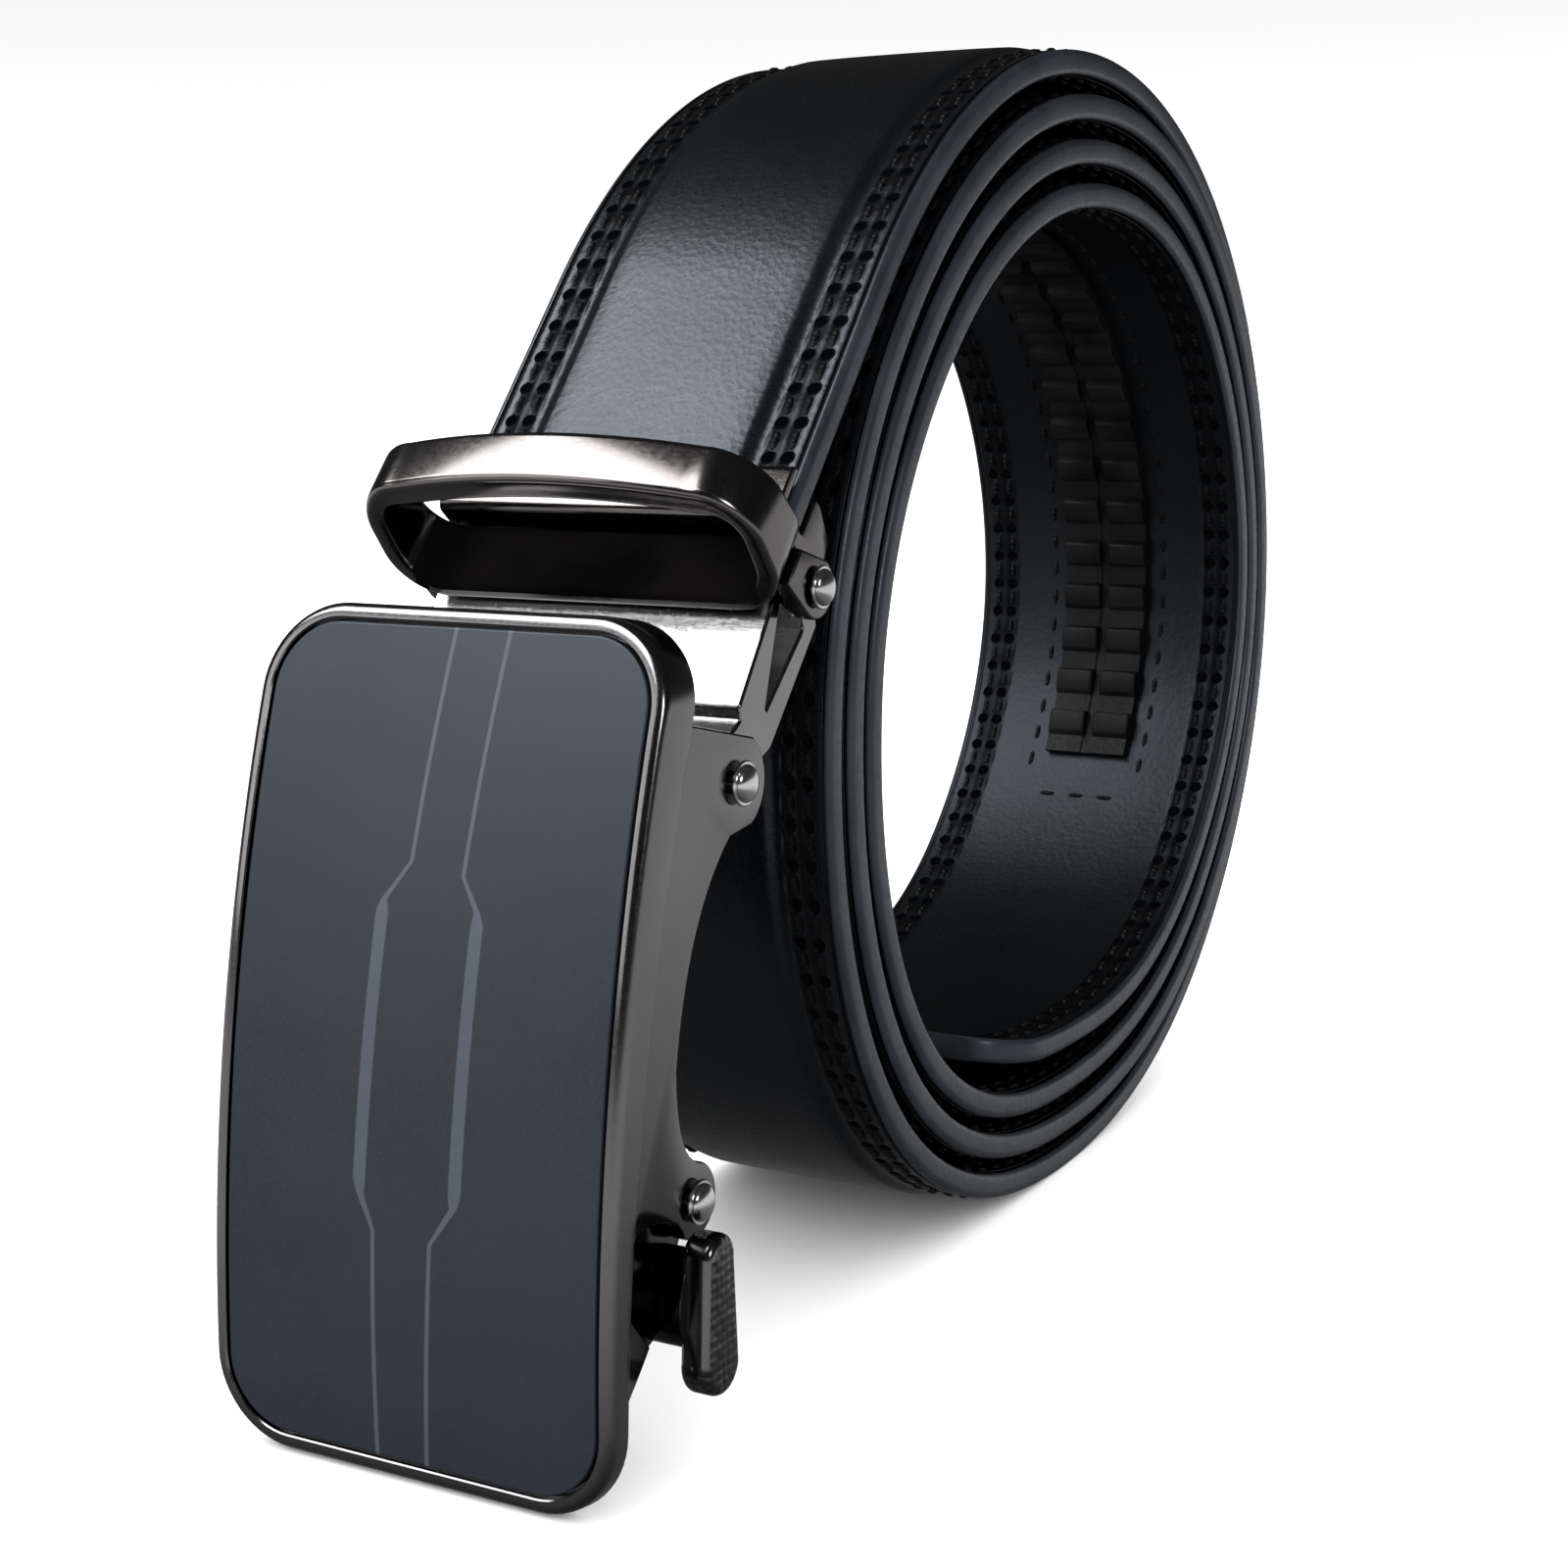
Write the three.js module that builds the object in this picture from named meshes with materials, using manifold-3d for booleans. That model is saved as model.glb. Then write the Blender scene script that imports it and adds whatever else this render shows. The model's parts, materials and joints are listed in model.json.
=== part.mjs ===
import * as THREE from 'three';
import { mergeVertices } from 'three/addons/utils/BufferGeometryUtils.js';
import Module from 'manifold-3d';

// A leather ratchet belt, coiled with its edges to the sides, whose buckle hangs in front
// of the coil and rests its foot on the floor. Lengths are millimetres, angles degrees.
// X runs across the strap, -Y is the side of the buckle's face, and Z is up.

// Clearances
const CLEAR = 0.3; // between pieces that touch on the real belt
const PIN_CLEAR = 0.3; // round a pin in its bore

// Strap
const STRAP_WIDTH = 35;
const STRAP_THICKNESS = 2.6; // at the stitched margins
const STRAP_CROWN = 0.7; // height of the padded middle above the margins
const STRAP_MARGIN = 5.4; // stitched margin beside the padded middle
const STRAP_SHOULDER = 1.6; // slope from the margin up to the padded middle
const STRAP_EDGE_ROUND = 0.8;
const STRAP_STEP = 7; // distance between two sections along the strap
const TIP_LENGTH = 9; // rounded free end
const TIP_WIDTH = 22; // width at the very end of the rounded tip

// Coil
const COIL_RADIUS = 62;
const COIL_TURNS = 3.71;
const STRAIGHT_RUN = 26.5; // from the clamp to where the strap lies on the coil
const LAYER_GAP = 0.35; // between neighbouring layers where they are packed tightest
const COIL_DRIFT = 1.2; // sideways step of the inner turns towards +X
const TIP_LIFT = 1.2; // how far the free end springs off the layer below it
const TIP_LIFT_SPAN = 50; // angle over which the free end springs off
const REST_SQUASH = 0.7; // leather pressed flat where the coil stands on the floor

// Directions round the coil from the front over the top, with the outline's reach as a share
// of COIL_RADIUS and the spacing of the layers as a share of the tightest spacing.
const COIL_OUTLINE = [
  { at: 0, reach: 0.982, spacing: 1.0 },
  { at: 45, reach: 0.946, spacing: 1.12 },
  { at: 90, reach: 0.98, spacing: 1.22 },
  { at: 135, reach: 1.02, spacing: 1.08 },
  { at: 180, reach: 1.037, spacing: 1.0 },
  { at: 225, reach: 1.003, spacing: 1.1 },
  { at: 270, reach: 0.99, spacing: 1.2 },
  { at: 315, reach: 1.05, spacing: 1.08 },
];

// Toothed track on the inner face near the free end
const TRACK_WIDTH = 10.5;
const TRACK_BASE = 0.6;
const TRACK_TOOTH = 1.1; // height of a tooth above the base
const TRACK_PITCH = 6;
const TRACK_TEETH = 34;
const TRACK_SLOT = 1.2; // groove between the two columns of teeth
const TRACK_SLOT_SINK = 0.1; // how far the groove cuts into the base
const TRACK_FROM_TIP = 72;
const TRACK_RISER = 0.4; // length of a tooth's steep side
const TRACK_THIN = 0.05; // height of a tooth's thin end above the base

// Pins
const PIN_RADIUS = 1.0;
const PIN_HEAD_RADIUS = 1.9;
const PIN_HEAD_HEIGHT = 1.1;
const PIN_SIDES = 14;
const BORE_SIDES = 20;

// Clamp on the strap's end
const CLAMP_GRIP = 3.6; // length of strap held inside
const CLAMP_FLOOR = 1.6;
const CLAMP_JAW = 1.0; // front jaw
const CLAMP_BACK = 4.8; // rear jaw with its closing edge

// Keeper loop
const LOOP_SIDE_WALL = 1.9;
const LOOP_SIDE_CLEAR = 0.6; // each side, between the strap and the loop
const LOOP_OPENING = 8.5; // free depth between the front bar and the rear plate
const LOOP_BAR_HEIGHT = 5.3;
const LOOP_BAR_DEPTH = 3.0;
const LOOP_BAR_BOW = 1.6; // how far the front bar bows forward in its middle
const LOOP_BAR_RAISE = 0.7; // how far the front bar sits above the rear plate
const LOOP_PLATE_HEIGHT = 6.8;
const LOOP_PLATE_DEPTH = 1.8;
const LOOP_PLATE_SET_BACK = 0.3; // behind the strap's outer face
const LOOP_CORNER = 4.2;
const LOOP_EDGE = 0.7; // rounded edges of the bar
const EAR_RADIUS = 2.8;
const EAR_THICKNESS = 1.6;

// Link between the clasp and the buckle
const LINK_LENGTH = 19.6; // from pin to pin
const LINK_TURN = 0.4; // forwards from the line of the strap's end
const LINK_SIDE_CLEAR = 0.55; // each side, between the link and the buckle's side walls
const LINK_KNUCKLE = 2.2; // radius of the link's sleeve round a pin
const LINK_BACK = 5.6; // how far the rear plate stands behind the line between the pins

// Buckle
const BUCKLE_LEAN = 10.7; // foot of the face towards the front
const FACE_HEIGHT = 71;
const FACE_CORNER = 7.5;
const FACE_BULGE = 3.4; // height of the face's curve from top to bottom
const RIM_DEPTH = 5; // at the top of the face
const RIM_FOOT_DEPTH = 2.4;
const RIM_OVERHANG = 0.65; // how far the rim reaches beyond the side walls
const RIM_EDGE = 0.8; // rounded front edge
const RIM_LIP = 1.3; // width of metal seen round the panel
const PANEL_THICKNESS = 1.0;
const PANEL_SET_BACK = 0.1; // behind the rim's front edge
const PANEL_EDGE = 0.15; // broken front edge of the panel
const PLATE_THICKNESS = 3.0; // metal and panel together, in front of the strap's channel
const FOOT_HEIGHT = 4; // closed band along the bottom
const SIDE_WALL = 1.4;
const WALL_ROOT = 0.3; // the side walls start this far behind the panel's seat
const CHANNEL_CLEAR = 0.45; // each side, between the strap and the side walls
const LOWER_PIN_FROM_TOP = 12.5; // below the top of the face
const LOWER_PIN_DEPTH = 12.2;
const WALL_EAR_RADIUS = 4.2;
const WAIST_DEPTH = 5.6; // of the side wall between its two ears
const PAWL_PIN_HEIGHT = 24.6;
const PAWL_PIN_DEPTH = 10;
const PAWL_EAR_RADIUS = 3.2;
const HORN_HEIGHT = 11.4; // tip of the wall below the lever's notch
const HORN_DEPTH = 4.6;

// Release lever
const PADDLE_LENGTH = 13.4;
const PADDLE_WIDTH = 5.2;
const PADDLE_LEAN = 1.5; // the paddle's foot behind its top
const PADDLE_THICKNESS = 2.9;
const PADDLE_GAP = 1.0; // between the side wall and the paddle
const PADDLE_TOP = 22.8; // height of the paddle's top on the buckle
const PADDLE_DEPTH = 8.4; // depth of the paddle's top behind the face's foot
const ARM_THICKNESS = 2.6;
const PAWL_WIDTH = 14;
const PAWL_BARREL = 2.4;
const PAWL_REACH = 6.6; // from the pin towards the plate

const CUT_PAST = 1; // how far a cutting tool reaches beyond what it cuts

const wasm = await Module();
wasm.setup();

const radians = THREE.MathUtils.degToRad;

const leather = new THREE.MeshStandardMaterial({ color: 0x15161a, roughness: 0.42, metalness: 0 });
const trackPlastic = new THREE.MeshStandardMaterial({ color: 0x121215, roughness: 0.5, metalness: 0 });
const gunmetal = new THREE.MeshStandardMaterial({ color: 0x5a5657, roughness: 0.22, metalness: 1 });
const mirror = new THREE.MeshStandardMaterial({ color: 0x9a9896, roughness: 0.08, metalness: 1 });
const rivetMetal = new THREE.MeshStandardMaterial({ color: 0x8d8b8a, roughness: 0.2, metalness: 1 });
const panel = new THREE.MeshStandardMaterial({ color: 0x272b33, roughness: 0.45, metalness: 0.4 });

// Geometry helpers

function toSolid(geometry) {
  const bare = new THREE.BufferGeometry();
  bare.setAttribute('position', geometry.getAttribute('position').clone());
  if (geometry.index) bare.setIndex(geometry.index.clone());
  const merged = mergeVertices(bare, 1e-4);
  return new wasm.Manifold(new wasm.Mesh({
    numProp: 3,
    vertProperties: Float32Array.from(merged.getAttribute('position').array),
    triVerts: Uint32Array.from(merged.index.array),
  }));
}

function toGeometry(solid) {
  const mesh = solid.getMesh();
  const geometry = new THREE.BufferGeometry();
  geometry.setAttribute('position', new THREE.BufferAttribute(Float32Array.from(mesh.vertProperties), 3));
  geometry.setIndex(new THREE.BufferAttribute(Uint32Array.from(mesh.triVerts), 1));
  geometry.computeVertexNormals();
  return geometry;
}

function join(...geometries) {
  return toGeometry(geometries.map(toSolid).reduce((a, b) => a.add(b)));
}

function cut(geometry, ...tools) {
  return toGeometry(tools.map(toSolid).reduce((a, b) => a.subtract(b), toSolid(geometry)));
}

function addMesh(group, name, geometry, material) {
  const mesh = new THREE.Mesh(geometry, material);
  mesh.name = name;
  group.add(mesh);
  return mesh;
}

// Joins rings of points into a closed body, and fills its two ends with the given triangles.
function loft(rings, capTriangles) {
  const sides = rings[0].length;
  const positions = rings.flat().flatMap((p) => [p.x, p.y, p.z]);
  const faces = [];
  const lastRing = rings.length - 1;
  const bands = capTriangles ? lastRing : rings.length;
  for (let i = 0; i < bands; i++) {
    const next = (i + 1) % rings.length;
    for (let j = 0; j < sides; j++) {
      const k = (j + 1) % sides;
      const [a, b, c, d] = [i * sides + j, i * sides + k, next * sides + k, next * sides + j];
      faces.push(a, b, c, a, c, d);
    }
  }
  for (const [a, b, c] of capTriangles ?? []) {
    faces.push(a, c, b);
    faces.push(lastRing * sides + a, lastRing * sides + b, lastRing * sides + c);
  }
  if (signedVolume(positions, faces) < 0) faces.reverse();
  const geometry = new THREE.BufferGeometry();
  geometry.setAttribute('position', new THREE.Float32BufferAttribute(positions, 3));
  geometry.setIndex(faces);
  geometry.computeVertexNormals();
  return geometry;
}

function signedVolume(positions, faces) {
  const corner = (i) => new THREE.Vector3().fromArray(positions, 3 * i);
  let sum = 0;
  for (let i = 0; i < faces.length; i += 3) {
    sum += corner(faces[i]).dot(corner(faces[i + 1]).cross(corner(faces[i + 2])));
  }
  return sum / 6;
}

// Triangles that fill a flat outline of Vector2 points, wound the way the outline is.
function fill(outline) {
  const turn = Math.sign(THREE.ShapeUtils.area(outline));
  return THREE.ShapeUtils.triangulateShape(outline, []).map(([a, b, c]) => {
    const area = THREE.ShapeUtils.area([outline[a], outline[b], outline[c]]);
    return Math.sign(area) === turn ? [a, b, c] : [a, c, b];
  });
}

// A side view drawn as (y, z), extruded along X.
function slice(shape, fromX, toX, curveSegments = 8) {
  const geometry = new THREE.ExtrudeGeometry(shape, { depth: toX - fromX, bevelEnabled: false, curveSegments });
  const turn = new THREE.Matrix4().makeBasis(
    new THREE.Vector3(0, 1, 0), new THREE.Vector3(0, 0, 1), new THREE.Vector3(1, 0, 0));
  geometry.applyMatrix4(turn);
  geometry.translate(fromX, 0, 0);
  return geometry;
}

function polygon(points) {
  return new THREE.Shape(points.map(([y, z]) => new THREE.Vector2(y, z)));
}

function disc(y, z, radius) {
  const shape = new THREE.Shape();
  shape.absarc(y, z, radius, 0, 2 * Math.PI);
  return shape;
}

function bore(y, z, halfSpan) {
  return slice(disc(y, z, PIN_RADIUS + PIN_CLEAR), -halfSpan, halfSpan, BORE_SIDES);
}

// A cross pin along X with a domed head on each end.
function pinGeometry(halfGrip) {
  const headFoot = halfGrip + CLEAR;
  const half = [
    [0, headFoot + PIN_HEAD_HEIGHT],
    [PIN_HEAD_RADIUS * 0.55, headFoot + PIN_HEAD_HEIGHT * 0.82],
    [PIN_HEAD_RADIUS * 0.9, headFoot + PIN_HEAD_HEIGHT * 0.42],
    [PIN_HEAD_RADIUS, headFoot],
    [PIN_RADIUS, headFoot],
  ];
  const lower = half.map(([r, h]) => new THREE.Vector2(r, -h));
  const upper = half.map(([r, h]) => new THREE.Vector2(r, h)).reverse();
  const geometry = new THREE.LatheGeometry([...lower, ...upper], PIN_SIDES);
  geometry.rotateZ(-Math.PI / 2);
  return toGeometry(toSolid(geometry));
}

// Coil of the strap

function around(angle, key) {
  const step = 360 / COIL_OUTLINE.length;
  const place = THREE.MathUtils.euclideanModulo(angle, 360) / step;
  const row = Math.floor(place);
  const t = place - row;
  const [a, b, c, d] = [-1, 0, 1, 2].map(
    (k) => COIL_OUTLINE[(row + k + COIL_OUTLINE.length) % COIL_OUTLINE.length][key]);
  return b + 0.5 * t * (c - a + t * (2 * a - 5 * b + 4 * c - d + t * (3 * (b - c) + d - a)));
}

const TIGHTEST = STRAP_THICKNESS + STRAP_CROWN + LAYER_GAP;

// Outer face of a strap that leaves the coil at the start angle. Angles count from the front
// over the top and keep counting from turn to turn.
function coilPoint(start, angle) {
  const end = start + 360 * COIL_TURNS;
  const turns = (angle - start) / 360;
  const lift = TIP_LIFT * THREE.MathUtils.smoothstep(angle, end - TIP_LIFT_SPAN, end);
  const radius = COIL_RADIUS * around(angle, 'reach') - TIGHTEST * around(angle, 'spacing') * turns - lift;
  return new THREE.Vector2(-radius * Math.cos(radians(angle)), radius * Math.sin(radians(angle)));
}

function coilDirection(start, angle) {
  return coilPoint(start, angle + 0.5).sub(coilPoint(start, angle - 0.5)).normalize();
}

const lean = radians(BUCKLE_LEAN);
const faceUp = new THREE.Vector2(Math.sin(lean), Math.cos(lean));
const faceBack = new THREE.Vector2(Math.cos(lean), -Math.sin(lean));
const footDrop = (RIM_FOOT_DEPTH - RIM_EDGE * 0.5) * Math.sin(lean);
const lowerPinHeight = FACE_HEIGHT - LOWER_PIN_FROM_TOP; // up the face
const plateTop = -(CLEAR + CLAMP_FLOOR + CLEAR); // of the loop's rear plate
const upperPin = {
  y: LOOP_PLATE_SET_BACK + LOOP_PLATE_DEPTH + CLEAR + LINK_KNUCKLE,
  z: plateTop - LINK_KNUCKLE,
};

// Places that hang together for a start angle. The coil and the buckle's foot both stand on
// the floor, and the strap's straight run takes up what is left between them.
function hang(start) {
  const strapUp = coilDirection(start, start);
  const strapBack = new THREE.Vector2(strapUp.y, -strapUp.x);
  const tilt = Math.atan2(strapUp.x, strapUp.y); // of the strap's end from the vertical
  const linkTilt = tilt + radians(LINK_TURN);
  const linkUp = new THREE.Vector2(Math.sin(linkTilt), Math.cos(linkTilt));
  let lowest = Infinity;
  for (let angle = start; angle < start + 360; angle++) {
    lowest = Math.min(lowest, coilPoint(start, angle).y - STRAP_CROWN);
  }
  const coilLift = -lowest - REST_SQUASH;
  const leavePoint = coilPoint(start, start).add(new THREE.Vector2(0, coilLift));
  const upperPinHeight = footDrop + faceUp.y * lowerPinHeight + faceBack.y * LOWER_PIN_DEPTH
    + linkUp.y * LINK_LENGTH;
  const strapEndHeight = upperPinHeight - strapBack.y * upperPin.y - strapUp.y * upperPin.z;
  const straightRun = (leavePoint.y - strapEndHeight) / strapUp.y;
  const strapEnd = leavePoint.clone().addScaledVector(strapUp, -straightRun);
  const upperPinPlace = strapEnd.clone()
    .addScaledVector(strapBack, upperPin.y).addScaledVector(strapUp, upperPin.z);
  const footPlace = upperPinPlace.clone().addScaledVector(linkUp, -LINK_LENGTH)
    .addScaledVector(faceUp, -lowerPinHeight).addScaledVector(faceBack, -LOWER_PIN_DEPTH);
  return { strapUp, tilt, linkTilt, coilLift, straightRun, strapEnd, upperPinPlace, footPlace };
}

// The strap leaves the coil where its straight run has the named length: a later start angle
// is higher on the coil and leaves a longer run.
let [early, late] = [0, 85];
while (late - early > 1e-4) {
  const middle = (early + late) / 2;
  if (hang(middle).straightRun < STRAIGHT_RUN) early = middle;
  else late = middle;
}
const coilStart = late;
const coilEnd = coilStart + 360 * COIL_TURNS;
const { strapUp, tilt, linkTilt, coilLift, strapEnd, upperPinPlace, footPlace } = hang(coilStart);

// Stations along the strap, one per degree on the coil, with the length run from the clamp.
const stations = [{ length: 0, point: strapEnd, direction: strapUp, turns: 0 }];
for (let angle = coilStart; angle <= coilEnd; angle++) {
  const point = coilPoint(coilStart, angle).add(new THREE.Vector2(0, coilLift));
  const before = stations[stations.length - 1];
  stations.push({
    length: before.length + point.distanceTo(before.point),
    point,
    direction: coilDirection(coilStart, angle),
    turns: (angle - coilStart) / 360,
  });
}
const strapLength = stations[stations.length - 1].length;

// A place on the strap's outer face, with the directions across and out of it.
function strapFrame(length) {
  let i = 1;
  while (i < stations.length - 1 && stations[i].length < length) i++;
  const [a, b] = [stations[i - 1], stations[i]];
  const t = (length - a.length) / (b.length - a.length);
  const point = a.point.clone().lerp(b.point, t);
  const direction = a.direction.clone().lerp(b.direction, t).normalize();
  const turns = THREE.MathUtils.lerp(a.turns, b.turns, t);
  const drift = COIL_DRIFT * THREE.MathUtils.smoothstep(turns, 0.25, 1.15);
  return { point, out: new THREE.Vector2(-direction.y, direction.x), drift };
}

// A point of a section: x across the strap, h out of its outer face.
function onStrap(length, x, h) {
  const { point, out, drift } = strapFrame(length);
  return new THREE.Vector3(x + drift, point.x + out.x * h, point.y + out.y * h);
}

function strapSection(widthShare) {
  const half = (STRAP_WIDTH / 2) * widthShare;
  const padEdge = half - STRAP_MARGIN * widthShare;
  const padTop = padEdge - STRAP_SHOULDER * widthShare;
  const round = STRAP_EDGE_ROUND;
  const bottom = -STRAP_THICKNESS;
  const right = [
    [half - round, bottom], [half, bottom + round], [half, -round], [half - round, 0],
    [padEdge, 0], [padTop, STRAP_CROWN],
  ];
  const left = right.map(([x, h]) => [-x, h]).reverse();
  return [...right, ...left];
}

function strapGeometry() {
  const lengths = [];
  const body = strapLength - TIP_LENGTH;
  const count = Math.round(body / STRAP_STEP);
  for (let i = 0; i <= count; i++) lengths.push((body * i) / count);
  const tipSteps = 5;
  for (let i = 1; i <= tipSteps; i++) lengths.push(body + TIP_LENGTH * Math.sin((Math.PI / 2) * (i / tipSteps)));
  const rings = lengths.map((length) => {
    const past = Math.max(0, (length - body) / TIP_LENGTH);
    const share = 1 - (1 - TIP_WIDTH / STRAP_WIDTH) * (1 - Math.sqrt(Math.max(0, 1 - past * past)));
    return strapSection(share).map(([x, h]) => {
      const place = onStrap(length, x, h);
      place.z = Math.max(place.z, 0);
      return place;
    });
  });
  return loft(rings, fill(strapSection(1).map(([x, h]) => new THREE.Vector2(x, h))));
}

function trackGeometry() {
  const end = strapLength - TRACK_FROM_TIP;
  const start = end - TRACK_TEETH * TRACK_PITCH;
  const profile = [];
  for (let i = 0; i < TRACK_TEETH; i++) {
    const foot = start + i * TRACK_PITCH;
    profile.push([foot, TRACK_THIN], [foot + TRACK_RISER, TRACK_TOOTH]);
  }
  profile.push([end, TRACK_THIN]);
  const top = -STRAP_THICKNESS - CLEAR;
  const section = (tooth) => {
    const [half, slot] = [TRACK_WIDTH / 2, TRACK_SLOT / 2];
    const base = top - TRACK_BASE;
    const groove = base + TRACK_SLOT_SINK;
    return [
      [-half, top], [-half, base - tooth], [-slot, base - tooth], [-slot, groove],
      [slot, groove], [slot, base - tooth], [half, base - tooth], [half, top],
    ];
  };
  const rings = profile.map(([length, tooth]) => section(tooth).map(([x, h]) => onStrap(length, x, h)));
  return loft(rings, fill(section(TRACK_THIN).map(([x, h]) => new THREE.Vector2(x, h))));
}

// Clasp end of the strap, in a frame whose origin is the strap's end on its outer face,
// with y into the strap and z up along it.

const loopInner = STRAP_WIDTH / 2 + LOOP_SIDE_CLEAR;
const loopOuter = loopInner + LOOP_SIDE_WALL;
const channelHalf = STRAP_WIDTH / 2 + CHANNEL_CLEAR;
const wallOuter = channelHalf + SIDE_WALL;
const faceHalf = wallOuter + RIM_OVERHANG;

// A folded jaw as wide as the strap, with a longer closing edge behind.
function clampGeometry() {
  const half = STRAP_WIDTH / 2;
  const front = -(STRAP_CROWN + CLEAR);
  const back = STRAP_THICKNESS + CLEAR;
  const body = slice(polygon([
    [front - CLAMP_JAW, -CLEAR - CLAMP_FLOOR * 0.6], [front - CLAMP_JAW * 0.5, -CLEAR - CLAMP_FLOOR],
    [back + CLAMP_BACK * 0.2, -CLEAR - CLAMP_FLOOR], [back + CLAMP_BACK, CLAMP_GRIP * 0.1],
    [back + CLAMP_BACK * 0.9, CLAMP_GRIP * 0.6], [back + CLAMP_BACK * 0.2, CLAMP_GRIP],
    [front - CLAMP_JAW * 0.6, CLAMP_GRIP], [front - CLAMP_JAW, CLAMP_GRIP * 0.85],
  ]), -half, half);
  const pocket = slice(polygon([
    [front, -CLEAR], [back, -CLEAR], [back, CLAMP_GRIP * 1.2], [front, CLAMP_GRIP * 1.2],
  ]), -half - CLEAR, half + CLEAR);
  return cut(body, pocket);
}

// The loop's outline seen along the strap: x across and y into the strap, with the wall's
// depth, and the low and high ends of the metal at each place.
function loopStations() {
  const rearMiddle = LOOP_PLATE_SET_BACK + LOOP_PLATE_DEPTH / 2;
  const frontMiddle = LOOP_PLATE_SET_BACK - LOOP_OPENING - LOOP_BAR_DEPTH / 2;
  const sideMiddle = loopInner + LOOP_SIDE_WALL / 2;
  const rows = [];
  const cornerSteps = 5;
  const addCorner = (cx, cy, fromAngle) => {
    for (let i = 0; i <= cornerSteps; i++) {
      const angle = radians(fromAngle + (90 * i) / cornerSteps);
      rows.push([cx + LOOP_CORNER * Math.cos(angle), cy + LOOP_CORNER * Math.sin(angle)]);
    }
  };
  const [cx, low, high] = [sideMiddle - LOOP_CORNER, frontMiddle + LOOP_CORNER, rearMiddle - LOOP_CORNER];
  addCorner(cx, high, 0);
  addCorner(-cx, high, 90);
  addCorner(-cx, low, 180);
  const barSteps = 8;
  for (let i = 1; i < barSteps; i++) rows.push([-cx + (2 * cx * i) / barSteps, frontMiddle]);
  addCorner(cx, low, 270);
  return rows.map(([x, y]) => {
    const forward = THREE.MathUtils.clamp((rearMiddle - y) / (rearMiddle - frontMiddle), 0, 1);
    const sideways = Math.min(1, Math.abs(x) / cx);
    const bow = forward ** 4 * LOOP_BAR_BOW * (1 - sideways ** 2);
    const onSide = THREE.MathUtils.smoothstep(Math.abs(x), cx, sideMiddle);
    const flatDepth = THREE.MathUtils.lerp(LOOP_PLATE_DEPTH, LOOP_BAR_DEPTH, forward);
    const height = THREE.MathUtils.lerp(LOOP_PLATE_HEIGHT, LOOP_BAR_HEIGHT, forward);
    const topEnd = plateTop + LOOP_BAR_RAISE * forward;
    return {
      x, y: y - bow, top: topEnd, bottom: topEnd - height,
      depth: THREE.MathUtils.lerp(flatDepth, LOOP_SIDE_WALL, onSide),
      edge: THREE.MathUtils.lerp(LOOP_PLATE_DEPTH * 0.25, LOOP_EDGE, forward),
    };
  });
}

function loopGeometry() {
  const rows = loopStations();
  const rings = rows.map((row, i) => {
    const before = rows[(i - 1 + rows.length) % rows.length];
    const after = rows[(i + 1) % rows.length];
    const along = new THREE.Vector2(after.x - before.x, after.y - before.y).normalize();
    const out = new THREE.Vector2(along.y, -along.x);
    const half = row.depth / 2;
    const { edge, top, bottom } = row;
    const section = [
      [half - edge, bottom], [half, bottom + edge], [half, top - edge], [half - edge, top],
      [-half + edge, top], [-half, top - edge], [-half, bottom + edge], [-half + edge, bottom],
    ];
    return section.map(([d, z]) => new THREE.Vector3(row.x + out.x * d, row.y + out.y * d, z));
  });
  const ring = loft(rings);
  const tabRoot = LOOP_PLATE_SET_BACK;
  const tab = polygon([
    [tabRoot, upperPin.z - EAR_RADIUS], [upperPin.y, upperPin.z - EAR_RADIUS],
    [upperPin.y, upperPin.z + EAR_RADIUS], [tabRoot, upperPin.z + EAR_RADIUS * 0.3],
  ]);
  const round = disc(upperPin.y, upperPin.z, EAR_RADIUS);
  const ears = [-1, 1].flatMap((side) => {
    const [from, to] = [loopInner, loopInner + EAR_THICKNESS].map((x) => x * side).sort((a, b) => a - b);
    return [slice(tab, from, to), slice(round, from, to, 20)];
  });
  return cut(join(ring, ...ears), bore(upperPin.y, upperPin.z, loopOuter + CUT_PAST));
}

// Link, in a frame whose origin is the upper pin, with z up along the link and y backwards.

function linkGeometry() {
  const low = -LINK_LENGTH;
  const half = channelHalf - LINK_SIDE_CLEAR;
  const [top, waist] = [low * 0.06, low * 0.67]; // of the front plate
  const body = polygon([
    [0, LINK_KNUCKLE], [-LINK_KNUCKLE, 0], [-LINK_KNUCKLE, top], [-LINK_KNUCKLE * 0.5, waist],
    [-LINK_KNUCKLE * 0.1, waist * 1.05], [-LINK_KNUCKLE, low], [LINK_KNUCKLE, low],
    [LINK_BACK, low * 0.66], [LINK_BACK, low * 0.01], [LINK_BACK * 0.6, LINK_KNUCKLE * 0.6],
  ]);
  const hollow = polygon([
    [-LINK_KNUCKLE * 0.4, low * 0.13], [LINK_BACK * 0.5, low * 0.56], [LINK_BACK * 0.66, low * 0.1],
    [LINK_BACK * 0.45, low * 0.02], [LINK_KNUCKLE * 0.75, low * 0.12],
  ]);
  const sleeves = [0, low].map((z) => slice(disc(0, z, LINK_KNUCKLE), -half, half, 16));
  const outer = join(slice(body, -half, half), ...sleeves);
  const past = half + CUT_PAST;
  return cut(outer, slice(hollow, -past, past), bore(0, 0, past), bore(0, low, past));
}

// Buckle, in a frame whose origin is the foot of the face, with z up the face and y backwards.

// Depth of the curved face at a height on it.
function faceDepth(z) {
  const share = (z - FACE_HEIGHT / 2) / (FACE_HEIGHT / 2);
  return -FACE_BULGE * (1 - share * share);
}

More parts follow.
